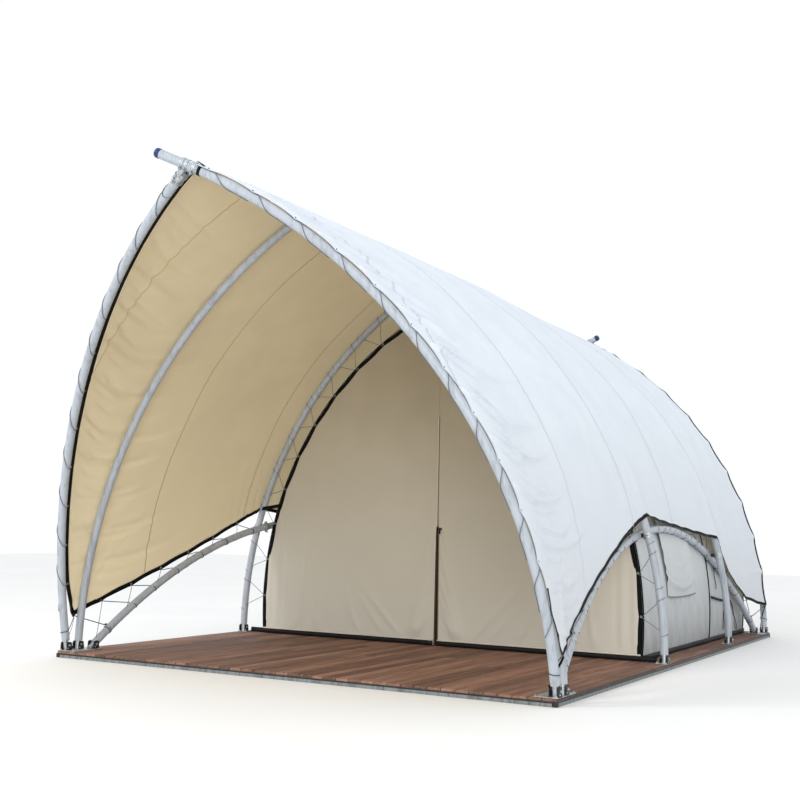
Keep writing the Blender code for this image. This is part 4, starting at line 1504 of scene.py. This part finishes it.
def lowLacing(label, side, places):
    # from each eyelet two legs go down to the low arch, and the rope takes a turn round the tube
    ties = grommets(label, "low", places, byShare=False)
    reach = tubeRadius + ropeSet["radius"]
    pieces = []
    for number, (spot, out, into) in enumerate(ties):
        y = spot.y
        low = lowArchPoint(y)
        gap = max(0.0, spot.z - low.z)
        ahead = min(0.10, 0.05 + gap * 0.2)
        behind = min(0.42, 0.06 + gap * 0.9)
        controls = [spot - out * 0.005, spot - out * 0.010 - into * 0.025]
        controls += [lowTubeSpot(y + behind, 60, side, reach), lowTubeSpot(y + behind + 0.012, 150, side, reach),
                     lowTubeSpot(y + behind + 0.022, 215, side, reach),
                     lowTubeSpot(y + behind + 0.030, 290, side, reach),
                     lowTubeSpot(y + behind + 0.040, 370, side, reach)]
        pieces.append(sweep("lowLace", curved(controls, 5), circle(ropeSet["radius"] * 1.1, 8), [darkRope]))
        controls = [spot + out * 0.006, spot + out * 0.008 - into * 0.03]
        controls += [lowTubeSpot(y - ahead, 100, side, reach), lowTubeSpot(y - ahead - 0.015, 10, side, reach),
                     lowTubeSpot(y - ahead - 0.03, -80, side, reach),
                     lowTubeSpot(y - ahead - 0.045, -150, side, reach)]
        pieces.append(sweep("lowLace", curved(controls, 5), circle(ropeSet["radius"] * 0.8, 8), [greyRope]))
    item = join(f"lowLacing_{label}", pieces)
    wear(item, "canopy_canvas")
    return ties


wallNodes = 11


def wallEdge(share, inset=0.0):
    x, z, outX, outZ = roomSpot(np.array([share]), roomSet["cloth"])
    scallop = 0.018 * abs(math.sin(math.pi * share * wallNodes))
    return Vector((x[0] - (inset + scallop) * outX[0], roomSet["front"] - 0.004, z[0] - (inset + scallop) * outZ[0]))


def wallWebbing(label, side):
    # 50 mm webbing down the front wall's edge, kinked at every lacing eyelet
    shares = [step / 132 for step in range(133)]
    line = [wallEdge(share, 0.022) for share in shares]
    line = [Vector((spot.x * side, spot.y - 0.001, max(spot.z, roomSet["floor"] + 0.004))) for spot in line]
    line[-1].x = side * 0.001
    item = sweep(f"wallEdge_{label}", line, band(0.050, 0.005), [blackWebbing], ups=[Vector((0, -1, 0))] * len(line))
    return item


def wallLacing(label, side):
    arc = arcs["middle"]
    reach = tubeRadius + ropeSet["radius"]
    pieces = []
    ties = []
    for number in range(1, wallNodes):
        share = number / wallNodes
        spot = wallEdge(share, 0.018)
        angle = nearestAngle(arc, spot)
        step = 0.15 / arc["radius"]
        spot = Vector((spot.x * side, spot.y - 0.005, spot.z))
        ties.append((spot, Vector((0, -1, 0)), Vector((0, 0, 1))))
        for way in (-1, 1):
            if number == wallNodes - 1 and way == 1:
                continue
            turns = ((way, 200), (way * 1.1, 150), (way * 1.2, 90), (way * 1.3, 30), (way * 1.4, -40),
                     (way * 1.5, -110))
            controls = [spot + Vector((0, 0.004 * way, 0)), spot + Vector((side * 0.03, 0.004 * way, 0.02 * way))]
            for far, turn in turns:
                place = onTube(arc, min(angle + step * far, arc["apex"] - 0.02), turn * way, reach)
                controls.append(Vector((place.x * side, place.y, place.z)))
            pieces.append(sweep("wallLace", curved(controls, 4), circle(ropeSet["radius"] * 0.85, 8), [greyRope]))
    item = join(f"wallLacing_{label}", pieces)
    wear(item, "wall_canvas")
    return ties


def linkStrap(label, side):
    # a black strap joins the canopy's low edge to the wall's edge beside the middle post
    edge, into, outward, share = canopyEdges[label, "low"]
    number = int(np.argmin(np.abs(edge[:, 1] + 0.99)))
    start = Vector(edge[number] + into[number] * 0.03)
    shareAt = min(range(400), key=lambda step: abs(wallEdge(step / 400).z - 1.80)) / 400
    end = wallEdge(shareAt, 0.01)
    end = Vector((end.x * side, end.y - 0.004, end.z))
    middle = (start + end) / 2 + Vector((0, -0.07, -0.01))
    line = curved([start + Vector((-side * 0.004, -0.005, 0)), start + Vector((-side * 0.05, -0.065, 0)), middle, end], 6)
    return sweep(f"linkStrap_{label}", line, band(0.048, 0.004), [blackWebbing],
                 ups=[Vector((0, -1, 0.1)).normalized()] * len(line))


def cornerTies(label, side):
    # at the front and the rear corner the canopy is tied down to the feet, with a turn round the low arch
    pieces = []
    edge, into, outward, share = canopyEdges[label, "low"]
    for end, title, number in ((-1, "front", 1), (1, "rear", len(edge) - 2)):
        corner = Vector(edge[number] + into[number] * 0.03)
        arc = arcs[title]
        angle = arcAngle(arc, 0.24)
        controls = [corner, corner + Vector((-side * 0.012, end * 0.004, -0.04))]
        controls += [flip3(onTube(arc, angle + 0.012 - share * 0.010, 200 - share * 300, tubeRadius + 0.005), side)
                     for share in (0.0, 0.2, 0.4, 0.6, 0.8, 1.0)]
        pieces.append(sweep("cornerTie", curved(controls, 5), circle(0.0045, 8), [darkRope]))
        y = end * 3.80
        controls = [corner + Vector((0, -end * 0.004, 0)), corner + Vector((0, -end * 0.03, -0.03))]
        controls += [lowTubeSpot(y - end * 0.02 + end * turn * 0.00005, 60 + turn, side, tubeRadius + 0.005)
                     for turn in (0, 90, 180, 270, 360, 450, 540)]
        pieces.append(sweep("cornerTie", curved(controls, 4), circle(0.0055, 8), [darkRope]))
        # a narrow strap runs on from the corner towards the foot
        foot = flip3(onTube(arc, arcAngle(arc, 0.17), 150 * -end, tubeRadius + 0.012), side)
        line = curved([corner - Vector(into[number]) * 0.02, corner + Vector((0, -end * 0.012, -0.05)),
                       (corner + foot) / 2 + Vector((0, -end * 0.03, 0)), foot], 5)
        pieces.append(sweep("cornerStrap", line, band(0.022, 0.003), [blackWebbing],
                            ups=[Vector((side, end, 0)).normalized()] * len(line)))
        # the bunched end of the rope
        knot = controls[2]
        loop = [knot + Vector((0.012 * math.cos(step * 1.1), 0.012 * math.sin(step * 1.1), 0.0015 * step)) for step in range(14)]
        pieces.append(sweep("knot", curved(loop, 3), circle(0.004, 8), [darkRope]))
    item = join(f"cornerTies_{label}", pieces)
    return wear(item, "canopy_canvas")


def apexStraps():
    # short black straps over the two end crossings hold the ridge's corners
    pieces = []
    for title, way in (("front", -1), ("rear", 1)):
        arc = arcs[title]
        side = sides[longTube[title]]
        angle = arc["apex"]
        turns = [(-0.055, 10), (-0.030, 2), (-0.004, 0), (0.022, 0)]
        line = [flip3(onTube(arc, angle - 0.085 / arc["radius"] + share / arc["radius"], turn, 0.0585 + 0.004 * number), side)
                for number, (share, turn) in enumerate(turns)]
        ups = [flip3(tubeFrame(arc, angle)[1], side)] * len(line)
        pieces.append(sweep("apexStrap", line, band(0.038, 0.005), [blackWebbing], ups=ups))
        loop = [flip3(onTube(arc, angle - 0.115 / arc["radius"], step * 30, 0.0485), side) for step in range(13)]
        pieces.append(sweep("apexLoop", loop, band(0.030, 0.003), [blackWebbing],
                            ups=[(spot - flip3(arcPoint(arc, angle - 0.115 / arc["radius"]), side)).normalized()
                                 for spot in loop]))
        # the free end of the lacing rope, looped below the crossing
        other = -side
        arcEnd = arc["apex"] - 0.14 / arc["radius"]
        rope = [onTube(arc, arcEnd, 150, 0.052), onTube(arc, arcEnd, 60, 0.060), onTube(arc, arcEnd, -30, 0.062),
                onTube(arc, arcEnd - 0.05 / arc["radius"], -50, 0.064),
                onTube(arc, arcEnd - 0.14 / arc["radius"], -20, 0.060),
                onTube(arc, arcEnd - 0.24 / arc["radius"], 40, 0.053),
                onTube(arc, arcEnd - 0.28 / arc["radius"], 110, 0.050),
                onTube(arc, arcEnd - 0.26 / arc["radius"], 190, 0.050)]
        rope = [flip3(spot, other) for spot in rope]
        pieces.append(sweep("apexRope", curved(rope, 5), circle(0.0048, 8), [greyRope]))
    item = join("apexStraps", pieces)
    return wear(item, "canopy_canvas")


def flip3(spot, side):
    return Vector((spot.x * side, spot.y, spot.z))


def buildLacing():
    frontPlaces = [0.96 - canopySet["frontTie"] * number for number in range(12)]
    rearPlaces = [0.90 - canopySet["rearTie"] * number for number in range(9)]
    frontRange = [-4.3 + canopySet["lowTie"] * number for number in range(1, 7)]
    rearRange = [-4.3 + canopySet["lowTie"] * number for number in range(9, 18)]
    for label, side in sides.items():
        rope = archLacing(label, side, "front", "front", frontPlaces, late=side < 0)
        wear(rope, "arch_tubes")
        rope = archLacing(label, side, "rear", "rear", rearPlaces, late=False)
        wear(rope, "arch_tubes")
        lowTies = lowLacing(label, side, frontRange + rearRange)
        cornerTies(label, side)
        wallTies = wallLacing(label, side)
        straps = [wallWebbing(label, side), linkStrap(label, side)]
        trim = join(f"wallWebbing_{label}", straps)
        wear(trim, "wall_canvas")
        ties = [(spot - out * 0.0035, out, into) for spot, out, into in
                grommets(label, "front", frontPlaces) + grommets(label, "rear", rearPlaces) + lowTies]
        rings = eyelets(f"eyelets_{label}", ties + wallTies)
        wear(rings, "fittings")
    apexStraps()
    print("lacing done")


buildLacing()


# fittings

fitSet = {
    "bore": tubeRadius + 0.0005, "sleeve": collarRadius, "round": 32,
    "plate": 0.008, "plateHalf": 0.09, "plateDepth": 0.13,
    "earGap": 0.042, "ear": 0.008, "earDepth": 0.08, "earHeight": 0.09, "earRound": 0.026,
    "spigot": 0.03, "clampHalf": 0.03,
}
plateTop = deckTop + clearance + fitSet["plate"]


def boltPattern():
    # hexagon head on a washer, standing on the origin along +Z
    bpy.ops.mesh.primitive_cylinder_add(vertices=18, radius=0.0150, depth=0.0025, location=(0, 0, 0.00125))
    washer = settle(bpy.context.object, "washer", zincPlate)
    bpy.ops.mesh.primitive_cylinder_add(vertices=6, radius=0.0115, depth=0.0085, location=(0, 0, 0.00675))
    head = settle(bpy.context.object, "head", zincPlate)
    finishModifier(head, "BEVEL", width=0.001, segments=1)
    bpy.ops.mesh.primitive_cylinder_add(vertices=10, radius=0.0055, depth=0.006, location=(0, 0, 0.013))
    stub = settle(bpy.context.object, "stub", zincPlate)
    return smooth(join("boltPattern", [washer, head, stub]))


def boltAt(place, axis, size=1.0):
    turn = Vector(axis).to_track_quat("Z", "Y").to_matrix().to_4x4()
    return duplicate(boltHead, Matrix.Translation(place) @ turn @ Matrix.Scale(size, 4))


def sleeve(start, end, inner, outer, material):
    # a short hollow collar between two points, its rims broken
    axis = end - start
    bpy.ops.mesh.primitive_cylinder_add(vertices=fitSet["round"], radius=inner, depth=axis.length,
                                        end_fill_type="NOTHING", location=(start + end) / 2,
                                        rotation=axis.to_track_quat("Z", "Y").to_euler())
    item = settle(bpy.context.object, "sleeve", material)
    finishModifier(item, "SOLIDIFY", thickness=outer - inner, offset=1.0)
    finishModifier(item, "BEVEL", width=0.0012, segments=2, limit_method="ANGLE")
    return item


def block(middle, size, axis, up, material, rim=0.0015):
    # a box whose z runs along up and whose x lies along axis
    axis = axis.normalized()
    up = (up - axis * up.dot(axis)).normalized()
    turn = Matrix((axis, up.cross(axis), up)).transposed()
    bpy.ops.mesh.primitive_cube_add(size=1, location=middle, rotation=turn.to_euler())
    item = bpy.context.object
    item.scale = size
    settle(item, "block", material)
    finishModifier(item, "BEVEL", width=rim, segments=2)
    return item


def ringClamp(middle, axis, toward, material, inner=None):
    # a two-piece pipe clamp: a ring, a pair of lugs and the bolt through them
    inner = inner or fitSet["sleeve"] + 0.0004
    axis = axis.normalized()
    toward = (toward - axis * toward.dot(axis)).normalized()
    across = axis.cross(toward)
    pieces = [sleeve(middle - axis * 0.013, middle + axis * 0.013, inner, inner + 0.005, material)]
    for way in (-1, 1):
        lug = middle + toward * (inner + 0.014) + across * 0.007 * way
        pieces.append(block(lug, (0.006, 0.026, 0.028), across, toward, material))
        pieces.append(boltAt(lug + across * 0.003 * way, across * way, 0.8))
    return pieces


def flipped(spot, side):
    return Vector((spot.x * side, spot.y, spot.z))


def tubeTop(title, label):
    # a tube's upper end and the way back down it, in place
    arc = arcs[title]
    angle = topAngle(title, label)
    return flipped(arcPoint(arc, angle), sides[label]), flipped(-arcRun(arc, angle), sides[label])


def crossing(title):
    # the fitting where a pair of tubes meets: welded sockets, clamps and through bolts
    longLabel = longTube.get(title)
    pieces = []
    for label in sides:
        end, down = tubeTop(title, label)
        across = down.cross(Vector((0, 1, 0))).normalized()
        outer = across if across.z > 0 else -across
        if label == longLabel:
            pieces.append(sleeve(end - down * 0.088, end + down * 0.088, fitSet["bore"], fitSet["sleeve"], whitePaint))
            for place in (-0.060, -0.012, 0.062):
                pieces += ringClamp(end + down * place, down, -outer + Vector((0, -0.9, 0)), galvanised)
            continue
        back = 0.045 if longLabel is None else 0.012
        pieces.append(sleeve(end - down * back, end + down * 0.118, fitSet["bore"], fitSet["sleeve"], galvanised))
        pieces += ringClamp(end + down * 0.100, down, Vector((0, -1, 0)) - outer * 0.4, galvanised)
        for place in (0.035, 0.068):
            for way in (-1, 1):
                side = Vector((0, way, 0))
                side = (side - down * side.dot(down)).normalized()
                pieces.append(boltAt(end + down * place + side * fitSet["sleeve"], side, 0.9))
        if longLabel is None:
            # a gusset in the corner below the two sockets
            pieces.append(block(end + down * 0.045 - outer * 0.055, (0.10, 0.008, 0.05), down, outer, galvanised))
        else:
            for way in (-1, 1):
                cheek = end - down * 0.02 + Vector((0, 0.047 * way, 0)) - outer * 0.004
                pieces.append(block(cheek, (0.12, 0.008, 0.066), down, outer, galvanised, 0.003))
    item = join(f"{title}Crossing", pieces)
    return wear(smooth(item), "fittings", f"{nodeOf[title]}_apex_fitting")


def tubeCap(title):
    # moulded cap on the tube that runs on past the crossing, with a raised rim and a paler ring
    label = longTube[title]
    end, down = tubeTop(title, label)
    arc = arcs[title]
    line = archLine(arc, footAngle(arc), topAngle(title, label))
    up = flipped((line[-1] - line[-2]).normalized(), sides[label])
    start = end + up * (tails[title] + clearance)
    turn = up.to_track_quat("Z", "Y").to_euler()
    # the cap's face is slightly domed and its collar grips the tube
    bpy.ops.mesh.primitive_uv_sphere_add(segments=40, ring_count=20, radius=0.0462, location=start + up * 0.004,
                                         rotation=turn)
    dome = bpy.context.object
    dome.scale = (1.0, 1.0, 0.62)
    settle(dome, "dome", bluePlastic)
    choose(dome)
    bpy.ops.object.mode_set(mode="EDIT")
    bpy.ops.mesh.select_all(action="SELECT")
    bpy.ops.mesh.bisect(plane_co=start + up * 0.0006, plane_no=up, clear_inner=True, use_fill=True)
    bpy.ops.object.mode_set(mode="OBJECT")
    rings = [sleeve(start - up * 0.030, start + up * 0.003, fitSet["bore"], 0.0478, bluePlastic)]
    for radius, rise, wide in ((0.021, 0.0300, 0.0028), (0.008, 0.0325, 0.0026)):
        bpy.ops.mesh.primitive_torus_add(major_radius=radius, minor_radius=wide, major_segments=36, minor_segments=8,
                                         location=start + up * rise * 0.93, rotation=turn)
        rings.append(settle(bpy.context.object, "ring", paleBluePlastic))
    disc = dome
    item = join(f"{title}Cap", [disc] + rings)
    return wear(smooth(item), "end_cap", f"{nodeOf[title]}_cap")


def earPattern():
    bpy.ops.mesh.primitive_cube_add(size=1)
    ear = bpy.context.object
    ear.scale = (fitSet["ear"], fitSet["earDepth"], fitSet["earHeight"])
    settle(ear, "earPattern", darkSteel)
    choose(ear)
    bpy.ops.object.mode_set(mode="EDIT")
    bpy.ops.mesh.select_mode(type="EDGE")
    bpy.ops.mesh.select_all(action="DESELECT")
    mesh = bmesh.from_edit_mesh(ear.data)
    for edge in mesh.edges:
        first, second = edge.verts
        edge.select_set(first.co.z > 0 and second.co.z > 0 and abs(first.co.x - second.co.x) > 0.001)
    bmesh.update_edit_mesh(ear.data)
    bpy.ops.mesh.bevel(offset=fitSet["earRound"], segments=5)
    bpy.ops.object.mode_set(mode="OBJECT")
    finishModifier(ear, "BEVEL", width=0.0012, segments=1, limit_method="ANGLE")
    return ear


lowFootY = 3.98
footGroups = {"front": ("front", "second", "lowFront"), "middle": ("middle",), "rear_post": ("rearPost",),
              "rear": ("lowRear", "rear")}


def standOf(title):
    # for the +X side: where a tube stands on its plate, its lower end and its direction
    if title.startswith("low"):
        end = -lowFootY if title == "lowFront" else lowFootY
        start = lowArchPoint(end)
        run = (lowArchPoint(end * 0.999) - start).normalized()
    else:
        arc = arcs[title]
        start = arcPoint(arc, footAngle(arc))
        run = arcRun(arc, footAngle(arc))
    middle = plateTop + fitSet["earHeight"] / 2
    return start - run * ((start.z - middle) / run.z), start, run


def footPiece(label, side, group, titles):
    stands = [standOf(title) for title in titles]
    lowY = min(foot.y for foot, start, run in stands) - fitSet["plateDepth"] / 2
    highY = max(foot.y for foot, start, run in stands) + fitSet["plateDepth"] / 2
    lowX = min(foot.x for foot, start, run in stands) - fitSet["plateHalf"]
    wide = 3.0 - lowX
    middle = Vector(((lowX + wide / 2) * side, (lowY + highY) / 2, deckTop + clearance + fitSet["plate"] / 2))
    bpy.ops.mesh.primitive_cube_add(size=1, location=middle)
    plate = bpy.context.object
    plate.scale = (wide, highY - lowY, fitSet["plate"])
    settle(plate, "basePlate", galvanised)
    finishModifier(plate, "BEVEL", width=0.002, segments=2)
    pieces = [plate]
    for foot, start, run in stands:
        for way in (-1, 1):
            x = foot.x * side + way * (fitSet["earGap"] + fitSet["ear"] / 2)
            place = Vector((x, foot.y, plateTop + fitSet["earHeight"] / 2 - 0.001))
            pieces.append(duplicate(ear, Matrix.Translation(place)))
            pieces.append(boltAt((x + way * fitSet["ear"] / 2, foot.y, plateTop + 0.050), Vector((way, 0, 0)), 1.15))
            pieces.append(boltAt((x + way * fitSet["ear"] / 2, foot.y - 0.022, plateTop + 0.020),
                                 Vector((way, 0, 0)), 0.7))
            # weld bead along the ear's outer foot
            line = [Vector((x + way * (fitSet["ear"] / 2 + 0.001), foot.y + step * 0.0075, plateTop + 0.001))
                    for step in range(-5, 6)]
            pieces.append(sweep("weld", line, circle(0.0035, 8), [darkSteel]))
        top = flipped(start - run * 0.0006, side)
        low = flipped(start - run * ((start.z - plateTop) / run.z), side)
        pieces.append(sweep("spigot", [low, (low + top) / 2, top], circle(fitSet["spigot"], 24), [galvanised]))
        # a flat bar across the ears' ends stops the tube from turning
        pieces.append(block(Vector((foot.x * side, foot.y + 0.046, plateTop + 0.022)), (0.092, 0.008, 0.040),
                            Vector((1, 0, 0)), Vector((0, 0, 1)), darkSteel))
    for x in (lowX + 0.018, 3.0 - 0.018):
        for y in (lowY + 0.018, highY - 0.018):
            pieces.append(boltAt((x * side, y, plateTop), Vector((0, 0, 1)), 0.85))
    item = join(f"{group}Foot_{label}", pieces)
    return wear(smooth(item), "fittings", f"{group}_foot_{label}")


def swivelClamp(title, label, side):
    # scaffold-type coupler: one half round the low arch, one round the post, on a common pivot
    arc = arcs[title]
    low = lowArchPoint(arc["footY"])
    run = (lowArchPoint(arc["footY"] + 0.01) - lowArchPoint(arc["footY"] - 0.01)).normalized()
    angle = arcAngle(arc, low.z)
    post = arcPoint(arc, angle)
    rise = arcRun(arc, angle)
    low, run, post, rise = (flipped(value, side) for value in (low, run, post, rise))
    half = fitSet["clampHalf"]
    between = (post - low).normalized()
    pieces = []
    for middle, axis, away in ((low, run, -between), (post, rise, between)):
        pieces.append(sleeve(middle - axis * half, middle + axis * half, fitSet["bore"], fitSet["sleeve"] - 0.001,
                             galvanised))
        across = axis.cross(away).normalized()
        for way in (-1, 1):
            pieces.append(block(middle + across * way * (fitSet["sleeve"] + 0.006), (0.026, 2 * half * 0.8, 0.010),
                                across, away, galvanised))
            pieces.append(boltAt(middle + across * way * (fitSet["sleeve"] + 0.008) + away * 0.005, away, 0.95))
            pieces.append(block(middle + across * way * (fitSet["sleeve"] + 0.014) + away * 0.020,
                                (0.020, 0.006, 0.014), across, away, darkSteel))
    gapStart = low + between * (fitSet["sleeve"] - 0.003)
    gapEnd = post - between * (fitSet["sleeve"] - 0.003)
    if (gapEnd - gapStart).dot(between) > 0.002:
        pieces.append(sweep("pivot", [gapStart, (gapStart + gapEnd) / 2, gapEnd], circle(0.024, 24), [darkSteel]))
    item = join(f"{title}Clamp_{label}", pieces)
    return wear(smooth(item), "fittings", f"{nodeOf[title]}_clamp_{label}")


boltHead = boltPattern()
ear = earPattern()
for title in arcs:
    crossing(title)
for title in longTube:
    tubeCap(title)
for label, side in sides.items():
    for group, titles in footGroups.items():
        footPiece(label, side, group, titles)
    for title in ("middle", "rearPost"):
        swivelClamp(title, label, side)
for pattern in (boltHead, ear):
    bpy.data.objects.remove(pattern, do_unlink=True)
print("fittings bolted on")


# the room's trims

trim = {"skirt": 0.065, "skirtOut": 0.022, "piping": 0.010, "strap": 0.040, "webbing": 0.0035}


def clothStrip(name, line, width, thickness, up, material):
    ups = [Vector(up).normalized()] * len(line)
    return sweep(name, line, band(width, thickness), [material], ups=ups)


def buildZip():
    # the zip's tapes either side of the slit, their facings, the guard behind and the slider with its pull
    heights = [roomSet["floor"] + 0.004 + step * 0.04 for step in range(73)]
    face = roomSet["front"]
    pieces = []
    # painted shade: the +X facing is a darker tan for the shade on that side of the slit; the other facing is the
    # light binding
    for side, facing in ((-1, roomBinding), (1, zipShade)):
        line = [Vector((side * (zipSlit(z) + 0.0065), face - 0.0060, z)) for z in heights if z < 1.60]
        pieces.append(clothStrip("zipTape", line, 0.013, 0.002, (0, -1, 0), zipTape))
        line = [Vector((side * (zipSlit(z) + np.interp(z, [1.45, 1.70], [0.018, 0.006])), face - 0.0065, z))
                for z in heights]
        pieces.append(clothStrip("zipFacing", line, 0.011, 0.002, (0, -1, 0), facing))
    guard = [Vector((0, face + 0.012, z)) for z in heights]
    pieces.append(clothStrip("zipGuard", guard, 0.070, 0.002, (0, -1, 0), zipTape))
    pieces.append(block(Vector((0.046, face - 0.018, 1.53)), (0.046, 0.014, 0.030), Vector((1, 0, 0)),
                        Vector((0, 0, 1)), blackPlastic, 0.004))
    hook = curved([Vector((0.034, face - 0.024, 1.535)), Vector((0.012, face - 0.026, 1.548)),
                   Vector((0.000, face - 0.022, 1.530)), Vector((0.004, face - 0.018, 1.500))], 5)
    pieces.append(sweep("pull", hook, circle(0.0045, 8), [blackPlastic]))
    tab = [Vector((0.046, face - 0.026 - 0.004 * math.sin(step / 3), 1.516 - step * 0.010)) for step in range(6)]
    pieces.append(clothStrip("tab", tab, 0.020, 0.002, (0, -1, 0), blackWebbing))
    wear(join("doorZip", pieces), "wall_canvas")


def skirtLine(points):
    # the skirt's own slow ripples
    return [Vector((x + 0.004 * math.sin(7 * y + 3 * x), y + 0.004 * math.sin(9 * x + 2 * y), z))
            for x, y, z in points]


def buildSkirts():
    # black mud skirts close the gap to the deck; they lie out on the boards a little
    height = roomSet["floor"] + trim["skirt"] / 2 - 0.004
    half = roomSet["halfWidth"]
    out = trim["skirtOut"]
    for label, side in sides.items():
        pieces = []
        front = [(side * (0.03 + step * 0.0705), roomSet["front"] - out, height) for step in range(41)]
        pieces.append(clothStrip("skirt", skirtLine(front), trim["skirt"], 0.003, (0, -1, 0.12), blackSheet))
        edge = [(side * (half + out * 1.2), roomSet["front"] + 0.01 + step * 0.071, height) for step in range(71)]
        pieces.append(clothStrip("skirt", skirtLine(edge), trim["skirt"], 0.003, (side, 0, 0.12), blackSheet))
        back = [(side * (0.01 + step * 0.067), roomSet["back"] + out + 0.004, height) for step in range(41)]
        pieces.append(clothStrip("skirt", skirtLine(back), trim["skirt"], 0.003, (0, 1, 0.12), blackSheet))
        # a light facing above the skirt, where the canvas is turned over
        hem = [(side * (0.035 + step * 0.0656), roomSet["front"] - out - 0.004, height + trim["skirt"] * 0.54)
               for step in range(41)]
        pieces.append(clothStrip("wallHem", skirtLine(hem), 0.018, 0.0025, (0, -1, 0), roomBinding))
        wear(join(f"mudSkirt_{label}", pieces), "groundsheet")


def onRoom(y, z, side, out):
    angle = math.asin((z - roomArc["centreZ"]) / roomArc["radius"])
    x = (roomArc["radius"] + out) * math.cos(angle) - roomArc["centreX"]
    return Vector((side * x, y, z))


def buildSideTrims():
    for label, side in sides.items():
        pieces = []
        # piping where the annex joins the room, up over the ridge
        shares = [step / 60 for step in range(61)]
        for y in (roomSet["joint"], roomSet["back"] - 0.012, roomSet["front"] + 0.012):
            line = []
            for share in shares:
                x, z, outX, outZ = roomSpot(np.array([share]), 0.006)
                bow = 0.010 * math.sin(9 * share) * (1 - share)
                line.append(Vector((side * x[0], y + (bow if y == roomSet["joint"] else 0.0), z[0])))
            pieces.append(sweep("piping", line, circle(trim["piping"], 8), [blackWebbing]))
        straps = [((2.06, 1.19), (2.90, 1.16)), ((2.37, 1.17), (2.39, 0.78)),
                  ((2.10, 0.68), (3.20, 0.58)), ((2.78, 0.60), (2.80, 0.20)), ((3.20, 0.58), (3.62, 0.16))]
        for (startY, startZ), (endY, endZ) in straps:
            line = []
            for step in range(15):
                share = step / 14
                y = startY + (endY - startY) * share
                z = startZ + (endZ - startZ) * share - 0.012 * math.sin(math.pi * share)
                line.append(onRoom(y, z, side, 0.019 + 0.005 * math.sin(3 * math.pi * share)))
            pieces.append(clothStrip("strap", line, trim["strap"] * 0.85, 0.003, (side, 0, 0.15), blackWebbing))
        # plastic buckles where the straps cross
        for y, z in ((2.38, 1.17), (2.79, 0.61)):
            spot = onRoom(y, z, side, 0.027)
            pieces.append(block(spot, (0.012, 0.046, 0.036), Vector((side, 0, 0)), Vector((0, 0, 1)), blackPlastic))
        # toggles that would hold the rolled flap, above the window
        for y in (0.22, 0.59, 0.96):
            top = onRoom(y, 1.69, side, 0.012)
            loop = [top, top + Vector((side * 0.010, 0.004, -0.03)), top + Vector((side * 0.012, -0.003, -0.07)),
                    top + Vector((side * 0.008, 0.0, -0.10))]
            pieces.append(clothStrip("toggleTape", curved(loop, 4), 0.014, 0.002, (side, 0, 0.1), hemTape))
        wear(join(f"sideTrim_{label}", pieces), "wall_canvas")


def buildRearTrims():
    # felled seams up the rear wall and its black edge webbing
    pieces = []
    for seam in rearSeams:
        top = roomSet["apex"] - 0.12 if seam == 0 else 3.15
        line = [Vector((seam, float(rearBulge(seam, z)) + 0.0078, z)) for z in np.linspace(0.14, top, 70)]
        pieces.append(clothStrip("rearSeam", line, 0.018, 0.002, (0, 1, 0), hemTape))
    for label, side in sides.items():
        line = []
        for step in range(101):
            spot = wallEdge(step / 100, 0.026)
            line.append(Vector((spot.x * side, roomSet["back"] + 0.0085, max(spot.z, roomSet["floor"] + 0.004))))
        line[-1].x = side * 0.001
        pieces.append(clothStrip("rearEdge", line, 0.050, 0.004, (0, 1, 0), blackWebbing))
    wear(join("rearTrim", pieces), "wall_canvas")


# painted shade: a darker tan for the zip's facing on the shaded side of the slit
zipShade = stripMaterial("polyester_facing_tan_painted_shade", "#8A7B66", "#7A6B57", 0.006, 0.8)
roomBinding = stripMaterial("polyester_binding_sand", "#E6E1D3", "#D6D0C0", 0.005, 0.75)
buildZip()
buildSkirts()
buildSideTrims()
buildRearTrims()
print("zip, skirts and straps sewn on")


print("done")
